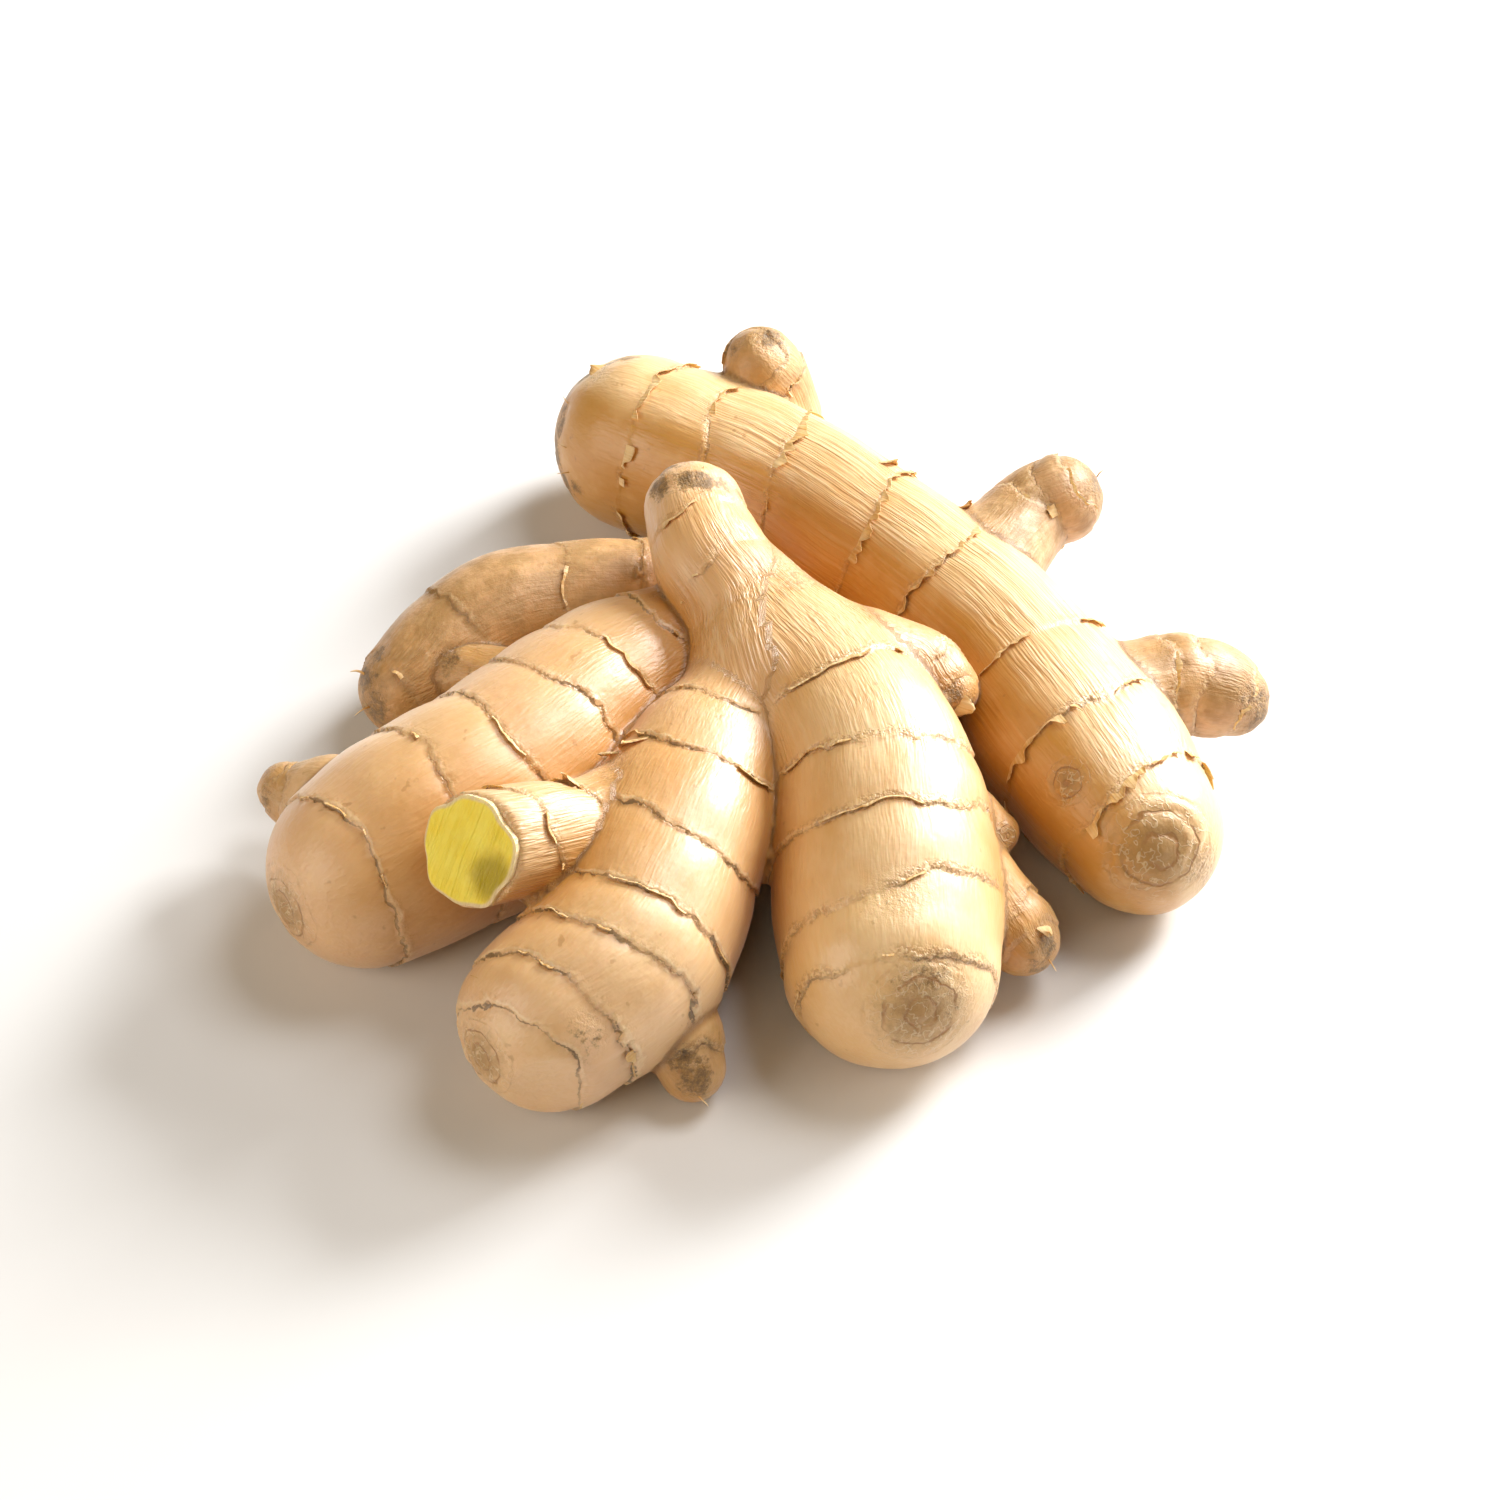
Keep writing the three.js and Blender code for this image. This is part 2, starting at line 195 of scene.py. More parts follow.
# Growing tips, each with a small bud in folded rings: x, y, z, radius of the folds.
TIPS = [
    (-45, -71.5, 19, 8.0), (28.5, -65, 23.5, 11.0), (72, -30, 24.5, 11.5), (-81.5, -39, 19.5, 9.5),
    (57, -17.5, 28, 5.0), (45, -24.5, 22, 3.0),
]

# The front fork: its limbs are blended with each other before they meet the others.
FORK = ("neck", "right finger", "left finger", "stub", "shoulder knob", "right tip knob", "right bud")
# Where the fork's limbs run smoothly into each other: x, y, z, reach, how softly.
SOFT_JOINS = [(0, 8, 32, 20, 2.1), (42, -34, 17, 8, 2.4), (25, 9, 35, 8, 1.8), (-22, -28, 30, 10, 1.8),
              (41, -20, 22, 5, 1.2)]
SPINE_STEP = 0.6  # distance between samples along a limb
SPAN_SAMPLES = 60  # samples of each span of a spine before they are evenly spaced
BLEND = 1.1  # how softly limbs run into each other elsewhere
HOLLOW_SHADE_REACH = 9.0  # how far from a limb the skin beside it takes painted shade, deeper in colour
SEARCH_REACH = 7.0  # limbs further than this from a point don't shape it
FAR = 60.0  # the distance given to those limbs
SHADED_SIDE = np.array([-0.74, -0.66, -0.1])  # the way that the side painted golden as shade faces, away from the key light
OVALNESS = 0.022  # how far a section departs from round
RING_WAVE = 0.7  # how far a ring wanders along the limb
JOINT_SWELL = 0.022 * 18.0  # how much fuller a joint is half way between two rings
LIP_RISE = 1.4  # length over which the skin rises to a ring's edge
STEP_LENGTH = 1.6  # length over which it recovers past the edge
END_GAP = 18.0  # distance from a limb's outer rings at which its ring pattern ends
RING_WIDTH = 1.3  # faces this close to a ring are split
STRIP_INSET = 0.2  # loose pieces keep this far inside the solids' box
STRIP_CELL = 0.55  # size of a scale strip's faces
FLESH_CELLS = 56  # faces along each side of the cut face's mesh
FLESH_DEPTH = 1.6  # thickness of the cut face's piece
OLIVE_PATCH = (6.2, -1.4)  # the middle of the cut face's darker olive patch, to the right and up
FIBRE_SWAY = 0.0013  # how far fibres sway from straight, in metres


# ------------------------------------------------------------------ settings


class GINGER_PG_skin(bpy.types.PropertyGroup):
    """Sizes and colours of the rhizome's skin"""

    voxel: FloatProperty(name="Skin mesh size", description="Edge length of the skin's mesh",
                         default=1.18 * MM, unit="LENGTH", precision=5)
    lip: FloatProperty(name="Scale edge", description="How far the old scale's edge stands up at a ring",
                       default=0.42 * MM, unit="LENGTH", precision=5)
    step: FloatProperty(name="Step", description="How far the skin drops just past the scale's edge",
                        default=0.4 * MM, unit="LENGTH", precision=5)
    jag: FloatProperty(name="Ring raggedness", description="How far a ring strays from its plane",
                       default=0.9 * MM, unit="LENGTH", precision=5)
    pale: FloatVectorProperty(name="Pale skin", description="Colour of the skin's pale parts",
                              default=(0.87, 0.59, 0.28), subtype="COLOR", min=0, max=1)
    tan: FloatVectorProperty(name="Tan skin", description="Colour of the skin's deeper parts",
                             default=(0.66, 0.35, 0.10), subtype="COLOR", min=0, max=1)
    pink: FloatVectorProperty(name="Pink tint", description="Colour of the young, pinkish skin",
                              default=(0.70, 0.40, 0.21), subtype="COLOR", min=0, max=1)
    # Painted shade: the golden colour laid on the side facing away from the key light and on undersides.
    shade_gold: FloatVectorProperty(name="Painted shade gold", description="Colour of the skin that is most golden",
                              default=(0.56, 0.25, 0.012), subtype="COLOR", min=0, max=1)
    # A paler tint, laid on some limbs more than others.
    bright: FloatVectorProperty(name="Bright tint", description="Colour of the youngest, palest skin",
                                default=(0.97, 0.745, 0.43), subtype="COLOR", min=0, max=1)
    cream: FloatVectorProperty(name="Scale rim", description="Colour of the pale border beside a ring",
                               default=(0.92, 0.74, 0.46), subtype="COLOR", min=0, max=1)
    # Painted shade: the colour laid in the hollows between limbs.
    hollow_shade: FloatVectorProperty(name="Painted hollow shade", description="Colour of the skin in the folds between limbs",
                              default=(0.56, 0.22, 0.004), subtype="COLOR", min=0, max=1)
    # Brown is also laid along the creases where limbs meet, as painted shade.
    brown: FloatVectorProperty(name="Dry brown", description="Colour of dry edges, creases and stipple",
                               default=(0.36, 0.15, 0.024), subtype="COLOR", min=0, max=1)
    ring: FloatVectorProperty(name="Ring line", description="Colour of the lines at the rings",
                              default=(0.17, 0.088, 0.018), subtype="COLOR", min=0, max=1)
    scar: FloatVectorProperty(name="Corky scar", description="Colour of scars and worn tips",
                              default=(0.34, 0.17, 0.030), subtype="COLOR", min=0, max=1)


class GINGER_PG_flesh(bpy.types.PropertyGroup):
    """Colours of the cut face"""

    yellow: FloatVectorProperty(name="Flesh", description="Colour of the fresh flesh",
                                default=(0.98, 0.70, 0.04), subtype="COLOR", min=0, max=1)
    lemon: FloatVectorProperty(name="Flesh fibres", description="Colour of the flesh's lighter fibres",
                               default=(1.0, 0.80, 0.11), subtype="COLOR", min=0, max=1)
    rim: FloatVectorProperty(name="Rim", description="Colour of the rim under the skin",
                             default=(0.82, 0.62, 0.34), subtype="COLOR", min=0, max=1)
    # The olive patch is a darker olive part of the cut face, with lower roughness.
    olive: FloatVectorProperty(name="Olive patch", description="Colour of the flesh's darker, damp patch",
                               default=(0.42, 0.31, 0.004), subtype="COLOR", min=0, max=1)


class GINGER_PG_studio(bpy.types.PropertyGroup):
    """The studio"""

    elevation: FloatProperty(name="Camera elevation", description="Angle of the view above the table",
                             default=math.radians(47), subtype="ANGLE")
    distance: FloatProperty(name="Camera distance", description="From the camera to the middle of the hand",
                            default=0.61, unit="LENGTH")
    key_power: FloatProperty(name="Key light", description="Power of the main soft light", default=20.5)
    surround: FloatProperty(name="Surround", description="Strength of the light from all round", default=0.10)


# ------------------------------------------------------------------ smooth random relief


def lattice_noise(points, size, seed):
    """Smooth noise from -1 to 1 at the points, with bumps about size across."""
    grid = points / size + seed * 17.31
    cell = np.floor(grid).astype(np.int64)
    part = grid - cell
    part = part * part * (3 - 2 * part)
    total = np.zeros(len(points))
    for corner in range(8):
        offset = np.array([corner & 1, corner >> 1 & 1, corner >> 2 & 1])
        key = (cell + offset) @ np.array([73856093, 19349663, 83492791]) + seed * 2654435761
        key = (key ^ (key >> 13)) * 1274126177 & 0xFFFFFFFF
        key = (key ^ (key >> 16)) * 668265263 & 0xFFFFFFFF
        value = (key >> 8 & 0xFFFF) / 32767.5 - 1
        weight = np.prod(np.where(offset, part, 1 - part), axis=1)
        total += value * weight
    return total


def columns(*parts):
    return np.stack(parts, axis=1)


def layered(points, *layers):
    """Noises added up, each given by its height, size and seed."""
    return sum(height * lattice_noise(points, size, seed) for height, size, seed in layers)


# ------------------------------------------------------------------ the rhizome's form


def smooth_curve(rows, per_span):
    """Points on the uniform Catmull-Rom curve through the rows."""
    rows = np.asarray(rows, float)
    ends = np.vstack([2 * rows[0] - rows[1], rows, 2 * rows[-1] - rows[-2]])
    t = np.linspace(0, 1, per_span, endpoint=False)[:, None]
    spans = []
    for a, b, c, d in zip(ends, ends[1:], ends[2:], ends[3:]):
        spans.append(0.5 * (2 * b + (c - a) * t + (2 * a - 5 * b + 4 * c - d) * t**2
                            + (3 * b - a - 3 * c + d) * t**3))
    return np.vstack(spans + [rows[-1:]])


class Limb:
    """One rounded finger: samples along its spine, with a frame and a radius at each."""

    def __init__(self, name, spine, rings, dark, even, band, fibre, ragged, hue, tone=0.0,
                 large=False, upright=False):
        self.name, self.rings, self.even, self.fibre = name, rings, even, fibre
        self.dark, self.band, self.ragged, self.tone = dark, band, ragged, tone
        self.hue, self.large = np.array(hue), large
        fine = smooth_curve(spine, SPAN_SAMPLES)
        along = np.concatenate([[0], np.cumsum(np.linalg.norm(np.diff(fine[:, :3], axis=0), axis=1))])
        self.length = along[-1]
        count = max(4, math.ceil(self.length / SPINE_STEP) + 1)
        self.place = np.linspace(0, self.length, count)
        spaced = columns(*(np.interp(self.place, along, fine[:, k]) for k in range(4)))
        self.centre, self.radius = spaced[:, :3], spaced[:, 3]
        tangent = np.gradient(self.centre, axis=0)
        self.tangent = tangent / np.linalg.norm(tangent, axis=1)[:, None]
        up = np.array([0.0, 1.0, 0.0]) if upright else np.array([0.0, 0.0, 1.0])
        top = up - self.tangent * (self.tangent @ up)[:, None]
        self.top = top / np.linalg.norm(top, axis=1)[:, None]
        self.side = np.cross(self.tangent, self.top)
        self.slope = np.gradient(self.radius, self.place)

    def locate(self, points):
        """Signed distance, outward direction, distance along and angle round, for each point."""
        gap = np.linalg.norm(points[:, None, :] - self.centre[None], axis=2) - self.radius
        nearest = np.argmin(gap, axis=1)
        offset = points - self.centre[nearest]
        ahead = np.einsum("ij,ij->i", offset, self.tangent[nearest])
        step = self.place[1]
        low = np.where(nearest == 0, 0.0, -step)
        high = np.where(nearest == len(self.place) - 1, 0.0, step)
        shift = np.clip(ahead, low, high)
        out = offset - self.tangent[nearest] * shift[:, None]
        reach = np.linalg.norm(out, axis=1) + 1e-9
        top = np.einsum("ij,ij->i", offset, self.top[nearest])
        side = np.einsum("ij,ij->i", offset, self.side[nearest])
        angle = np.arctan2(side, top)
        along = self.place[nearest] + ahead
        uneven = np.sin(2 * angle + along / 23) + 0.6 * np.sin(3 * angle - along / 17)
        uneven *= np.minimum((top * top + side * side) / (reach * reach), 1)
        radius = (self.radius[nearest] + self.slope[nearest] * shift) * (1 + OVALNESS * uneven)
        return reach - radius, out / reach[:, None], along, angle, top, side

    def ring_places(self, along, angle):
        """Where each ring crosses the line at that angle round the limb."""
        places = []
        for place, over_top, to_side in self.rings:
            wave = np.sin(3 * angle + place) + 0.6 * np.sin(5 * angle + 2.3 * place)
            places.append(place + over_top * np.cos(angle) + to_side * np.sin(angle) + RING_WAVE * wave)
        return places

    def ring_strength(self, points):
        """How strongly a ring shows at each point, from 0 to 1: rings fade in places."""
        patchy = layered(points, (1.0, 9.0, 5), (0.5, 3.0, 15))
        return np.clip(self.even + 0.25 + 1.1 * patchy, 0, 1)

    def fibre_strength(self, along):
        """How strongly the fibres show; they fade out on the rounded ends."""
        stops, strengths = zip(*self.fibre)
        beyond = np.maximum(np.maximum(-along, along - self.length), 0)
        return np.interp(along, stops, strengths) * np.clip(1.15 - beyond / 9.0, 0, 1)

    def phase(self, along, angle):
        """A number that is whole at each ring and runs evenly between them, and its millimetres."""
        places = self.ring_places(along, angle)
        if not places:
            return np.full(len(along), 0.5), np.full(len(along), 99.0)
        stops = [places[0] - END_GAP] + places + [places[-1] + END_GAP]
        total = np.zeros(len(along))
        gap = np.full(len(along), END_GAP)
        for index, (start, stop) in enumerate(zip(stops, stops[1:])):
            share = (along - start) / (stop - start)
            total += np.clip(share, 0, 1)
            inside = (share > 0) & (share <= 1)
            gap = np.where(inside, stop - start, gap)
        return np.clip(total, 0.02, len(stops) - 1.02), gap


ALL_LIMBS = [Limb(name, **facts) for name, facts in LIMBS.items()]
STUB = list(LIMBS).index("stub")
IN_FORK = np.array([name in FORK for name in LIMBS])
LARGE = np.array([limb.large for limb in ALL_LIMBS])


def soft_least(gaps, blend):
    """Each gap's share in the smooth least of them, and that least."""
    least = gaps.min(0)
    pull = np.exp(-(gaps - least) / blend)
    total = pull.sum(0)
    return pull / total, least - blend * np.log(total)


def closeness(weights):
    """How evenly the two greatest shares are matched, from 0 to 1."""
    ordered = np.sort(weights, axis=0)
    return np.exp(-(((ordered[-1] - ordered[-2]) / 0.55) ** 2))


class Form:
    """What the rhizome's smooth form is like at each of some points, in the limbs' own frame."""

    def __init__(self, points, margin=SEARCH_REACH):
        self.points = points
        count = len(points)
        limbs = len(ALL_LIMBS)
        self.gap = np.full((limbs, count), FAR)
        self.out = np.zeros((limbs, count, 3))
        self.along = np.zeros((limbs, count))
        self.angle = np.zeros((limbs, count))
        self.across = np.zeros((limbs, count, 2))
        for index, limb in enumerate(ALL_LIMBS):
            low = (limb.centre - limb.radius[:, None]).min(0) - margin
            high = (limb.centre + limb.radius[:, None]).max(0) + margin
            near = np.flatnonzero(np.all((points > low) & (points < high), axis=1))
            for part in np.array_split(near, max(1, len(near) // 12000)):
                if not len(part):
                    continue
                found = limb.locate(points[part])
                self.gap[index, part], self.out[index, part] = found[0], found[1]
                self.along[index, part], self.angle[index, part] = found[2], found[3]
                self.across[index, part] = np.stack(found[4:], axis=1)
        past_cut = (points - CUT_POINT) @ CUT_FACING + CUT_INSET
        self.on_cut = (past_cut > self.gap[STUB]) & (self.gap[STUB] < FAR)
        self.out[STUB, self.on_cut] = CUT_FACING
        self.gap[STUB] = np.where(self.on_cut, past_cut, self.gap[STUB])
        merge, blend = np.zeros(count), np.full(count, BLEND)
        for x, y, z, reach, soft in SOFT_JOINS:
            close = np.exp(-(np.linalg.norm(points - np.array([x, y, z]), axis=1) / reach) ** 2)
            merge, blend = np.maximum(merge, close), blend + soft * close
        fork, fork_gap = soft_least(self.gap[IN_FORK], blend)
        share, self.distance = soft_least(np.vstack([fork_gap, self.gap[~IN_FORK]]), BLEND)
        self.weight = np.zeros_like(self.gap)
        self.weight[IN_FORK] = fork * share[0]
        self.weight[~IN_FORK] = share[1:]
        self.crease = np.maximum(closeness(share), closeness(fork) * share[0] * (1 - merge))
        normal = np.einsum("ij,ijk->jk", self.weight, self.out)
        self.normal = normal / (np.linalg.norm(normal, axis=1)[:, None] + 1e-9)
        self.main = self.weight.argmax(0)
        # Painted shade in the hollows: near is how close each point is to the next large limb, or to another
        # fork limb away from the soft joins.
        next_limb = np.sort(np.vstack([fork_gap, self.gap[LARGE & ~IN_FORK]]), axis=0)[1]
        next_finger = np.sort(self.gap[IN_FORK], axis=0)[1]
        self.near = np.exp(-np.maximum(next_limb, 0) / HOLLOW_SHADE_REACH)
        self.near = np.maximum(self.near, share[0] * (1 - merge) * np.exp(-next_finger / HOLLOW_SHADE_REACH))


def settle(points, rounds=4):
    """The points moved onto the rhizome's smooth form, and the form there."""
    for _ in range(rounds):
        form = Form(points)
        points = points - form.normal * form.distance[:, None]
    return points, Form(points, 2.5 * HOLLOW_SHADE_REACH)


def relief(form, skin):
    """How far the skin stands off the smooth form, and what its colours read, at each point."""
    points = form.points
    count = len(points)
    stray = ring_stray(points, skin)
    height = np.zeros(count)
    phase, gap = np.zeros(count), np.full(count, 20.0)
    dark, band, fibre, tone = np.zeros(count), np.zeros(count), np.zeros(count), np.zeros(count)
    grain, hue = np.zeros((count, 3)), np.zeros((count, 3))
    for index, limb in enumerate(ALL_LIMBS):
        share = form.weight[index]
        near = np.flatnonzero(share > 0.01)
        if not len(near):
            continue
        along, angle = form.along[index, near] + stray[near], form.angle[index, near]
        turns, span = limb.phase(along, angle)
        part = turns % 1
        past, before = part * span, (1 - part) * span
        inner = (turns > 1) & (turns < len(limb.rings))
        strength = limb.ring_strength(points[near])
        swell = JOINT_SWELL * np.sin(np.pi * part) * inner
        rise = skin.lip / MM * np.exp(-before / LIP_RISE) * (turns < len(limb.rings))
        drop = skin.step / MM * np.exp(-past / STEP_LENGTH) * (turns > 1)
        edge = (rise - drop) * (0.3 + 0.7 * strength) * (0.35 + 0.65 * limb.dark)
        height[near] += share[near] * (swell + edge)
        tone[near] += share[near] * limb.tone
        hue[near] += share[near, None] * limb.hue
        chosen = form.main[near] == index
        lead = near[chosen]
        phase[lead], gap[lead] = turns[chosen], span[chosen]
        dark[lead], band[lead] = limb.dark * strength[chosen], limb.band
        fibre[near] += share[near] * limb.fibre_strength(along)
        grain[lead, 0] = form.along[index, lead]
        grain[lead, 1:] = form.across[index, lead]
    ordered = np.sort(form.weight, axis=0)
    seam = np.clip((ordered[-1] - 0.52) / 0.2, 0, 1)
    # Painted shade: the side facing away from the key light, and the underside, take the golden tint; fibres
    # fade where it lies.
    facing_shaded_side = form.normal @ SHADED_SIDE + 0.08 * lattice_noise(points, 8.0, 16)
    shaded_side_gold = hue[:, 0] * np.clip((facing_shaded_side - 0.22) / 0.25, 0.15, 1)
    hue[:, 0] = np.clip(shaded_side_gold + 0.35 * np.clip(0.25 - form.normal[:, 2], 0, 1), 0, 1)
    fibre = fibre * (1 - 0.75 * np.clip(shaded_side_gold, 0, 1))
    worn = worn_places(points)
    from_bud, folds = bud_folds(points)
    height = height * seam + skin_lumps(points, worn) + folds - 0.25 * form.crease
    height[form.on_cut] = 0
    return height, dict(phase=phase, gap=gap, seam=seam, dark=dark, band=band, fibre=fibre, tone=tone,
                        grain=grain, worn=worn, from_bud=from_bud, hue=hue)


def ring_stray(points, skin):
    """How far a ring strays along its limb, in jagged steps."""
    wide = lattice_noise(points, 6.0, 3)
    zigzag = np.abs(1.6 * lattice_noise(points, 3.0, 4) % 2 - 1) * 2 - 1
    return skin.jag / MM * (wide * 0.8 + zigzag * 0.45)


def skin_lumps(points, worn):
    """Gentle unevenness all over, and roughness where the skin is worn."""
    lumps = layered(points, (0.42, 17.0, 1), (0.16, 6.5, 2))
    rough = layered(points, (0.35, 2.6, 6), (0.22, 1.4, 7))
    return lumps + worn * (rough - 0.35)


def worn_places(points):
    """How worn or corky the skin is, from 0 to 1, in ragged patches."""
    ragged = 1 + 0.35 * lattice_noise(points, 3.5, 8)
    worn = np.zeros(len(points))
    for x, y, z, radius, strength in SCARS:
        away = np.linalg.norm(points - np.array([x, y, z]), axis=1) / (radius * ragged)
        worn = np.maximum(worn, strength * np.clip(1.35 - away, 0, 1))
    return worn


def bud_folds(points):
    """How far out each point is in a tip's folds (1 at their rim), and how far they stand up."""
    from_bud = np.full(len(points), 2.0)
    folds = np.zeros(len(points))
    wander = layered(points, (2.2, 5.0, 9), (0.6, 1.8, 10))
    shown = np.clip(0.55 + 1.1 * lattice_noise(points, 4.0, 13), 0, 1)
    for x, y, z, radius in TIPS:
        away = np.linalg.norm(points - np.array([x, y, z]), axis=1)
        share = away / radius
        fade = np.clip(1.1 - share, 0, 1)
        ridge = np.abs(np.sin(np.pi * (away + wander) / (radius * 0.27)))
        folds += 0.42 * (ridge - 0.5) * np.minimum(fade * 3, 1) * shown
        folds += 0.7 * np.exp(-((away / 1.6) ** 2)) - 0.5 * np.exp(-((away / (0.45 * radius)) ** 2))
        from_bud = np.minimum(from_bud, share)
    return from_bud, folds


def to_limb_frame(points):
    return points / MM + np.array([*MIDDLE, GROUND])


def to_metres(points):
    return (points - np.array([*MIDDLE, GROUND])) * MM


# ------------------------------------------------------------------ meshes


def corners_of(mesh):
    flat = np.empty(len(mesh.vertices) * 3)
    mesh.vertices.foreach_get("co", flat)
    return flat.reshape(-1, 3)


def move_corners(mesh, points):
    mesh.vertices.foreach_set("co", np.ascontiguousarray(points, dtype=np.float32).ravel())
    mesh.update()


def only(piece):
    """Leaves this piece alone selected and active."""
    bpy.ops.object.select_all(action="DESELECT")
    piece.hide_set(False)
    piece.select_set(True)
    bpy.context.view_layer.objects.active = piece


def keep_values(piece, name, values):
    """Stores one or three numbers for each corner of the piece, for its material to read."""
    kind, field = ("FLOAT", "value") if values.ndim == 1 else ("FLOAT_VECTOR", "vector")
    layer = piece.data.attributes.new(name, kind, "POINT")
    layer.data.foreach_set(field, np.ascontiguousarray(values, dtype=np.float32).ravel())


def edit(piece, *steps, faces=None):
    """Takes the steps in edit mode, on all of the piece's faces or on those marked in faces."""
    only(piece)
    bpy.ops.object.mode_set(mode="EDIT")
    bpy.ops.mesh.select_mode(type="FACE")
    bpy.ops.mesh.select_all(action="SELECT" if faces is None else "DESELECT")
    if faces is not None:
        bpy.ops.object.mode_set(mode="OBJECT")
        piece.data.polygons.foreach_set("select", faces)
        bpy.ops.object.mode_set(mode="EDIT")
    for step in steps:
        step()
    bpy.ops.object.mode_set(mode="OBJECT")


def merge_corners(threshold):
    return lambda: bpy.ops.mesh.remove_doubles(threshold=threshold * MM)


def face_outwards():
    bpy.ops.mesh.normals_make_consistent(inside=False)


def apply_modifier(piece, kind, **settings):
    """Changes the active piece's mesh as a modifier of that kind does."""
    modifier = piece.modifiers.new(kind.title(), kind)
    for name, value in settings.items():
        setattr(modifier, name, value)
    bpy.ops.object.modifier_apply(modifier=modifier.name)


def inside_box(points, margin=0.03):
    """The points held inside the solids' own box, and so above the table."""
    low, high = np.array(CAD_BOX[0]), np.array(CAD_BOX[1])
    return np.clip(points, low + margin * MM, high - margin * MM)


def finish_piece(piece, material):
    """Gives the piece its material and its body."""
    piece.data.materials.clear()
    piece.data.materials.append(material)
    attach(piece, BODY)


class GINGER_OT_body(bpy.types.Operator):
    """Makes the rhizome's skin: rounded limbs, rings, tips and scars"""

    bl_idname = "ginger.body"
    bl_label = "Rhizome body"

    def execute(self, context):
        skin = context.scene.ginger_skin
        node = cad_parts[NODE]
        piece = bpy.data.objects.new("rhizome_skin", node.data.copy())
        context.scene.collection.objects.link(piece)
        edit(piece, merge_corners(0.01))
        apply_modifier(piece, "REMESH", mode="VOXEL", voxel_size=skin.voxel)
        self.refine_at_rings(piece, skin)
        form, found = self.shape(piece, skin)
        seam = found["seam"]
        keep_values(piece, "grain", found["grain"] * MM)
        keep_values(piece, "rings", columns(found["phase"], found["gap"], found["dark"] * seam))
        keep_values(piece, "marks", columns(found["worn"], found["from_bud"], found["fibre"]))
        # tone is dry brown that partly stands in as painted shade; hue's first number is the golden painted
        # shade; the second number of folds is the painted shade in the hollows.
        keep_values(piece, "tone", found["tone"])
        keep_values(piece, "hue", found["hue"])
        keep_values(piece, "folds", columns(form.crease, form.near, found["band"] * seam))
        bpy.ops.object.shade_smooth()
        finish_piece(piece, skin_material(skin))
        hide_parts(NODE)
        return {"FINISHED"}

    def refine_at_rings(self, piece, skin):
        """Splits the faces close to a ring or a folded tip, so that they are crisp."""
        points, form = settle(to_limb_frame(corners_of(piece.data)), 2)
        move_corners(piece.data, to_metres(points))
        found = relief(form, skin)[1]
        ring = np.round(found["phase"])
        fine = np.abs(found["phase"] - ring) * found["gap"] < RING_WIDTH
        fine &= (found["seam"] > 0.2) & (ring > 0.5)
        fine |= found["from_bud"] < 1.0
        picked = [all(fine[v] for v in face.vertices) for face in piece.data.polygons]
        edit(piece, lambda: bpy.ops.mesh.subdivide(number_cuts=1), faces=picked)

    def shape(self, piece, skin):
        """Moves the skin onto the limbs and raises its relief. Gives the form and what it reads."""
        points, form = settle(to_limb_frame(corners_of(piece.data)))
        height, found = relief(form, skin)
        points = points + form.normal * height[:, None]
        points[:, 2] = np.maximum(points[:, 2], GROUND)
        move_corners(piece.data, inside_box(to_metres(points)))
        return form, found


# ------------------------------------------------------------------ scales, flaps and threads


def blank_strip(cells, rows):
    """A flat strip with its corners' places across and along it, both from 0 to 1."""
    bpy.ops.object.select_all(action="DESELECT")
    bpy.ops.mesh.primitive_grid_add(x_subdivisions=cells, y_subdivisions=rows, size=2.0)
    piece = bpy.context.active_object
    flat = corners_of(piece.data)
    return piece, flat[:, 0] * 0.5 + 0.5, flat[:, 1] * 0.5 + 0.5


def thicken(piece, thickness):
    """Gives a thin sheet its two sides and its edges."""
    only(piece)
    apply_modifier(piece, "SOLIDIFY", thickness=thickness * MM, offset=0.0)
    edit(piece, face_outwards)
    bpy.ops.object.shade_smooth_by_angle(angle=math.radians(50))


def join(pieces, name):
    """Joins the pieces into one, with its origin at the world's."""
    bpy.ops.object.select_all(action="DESELECT")
    for piece in pieces:
        piece.select_set(True)
    bpy.context.view_layer.objects.active = pieces[0]
    if len(pieces) > 1:
        bpy.ops.object.join()
    whole = bpy.context.active_object
    whole.name = name
    bpy.ops.object.transform_apply(location=True, rotation=True, scale=True)
    return whole


def keep_strip(piece, across, outward, number):
    """Stores where each corner is across and along its strip, and the strip's number."""
    keep_values(piece, "strip", columns(across * MM, outward, 0 * across + number))


SCALE_PIECES = {
    "scales_back_arm": ("back arm", "top knob", "right knob", "far knob"),
    "scales_fingers": ("right finger", "left finger", "neck", "stub"),
    "scales_left_arms": ("left front arm", "left back arm"),
}


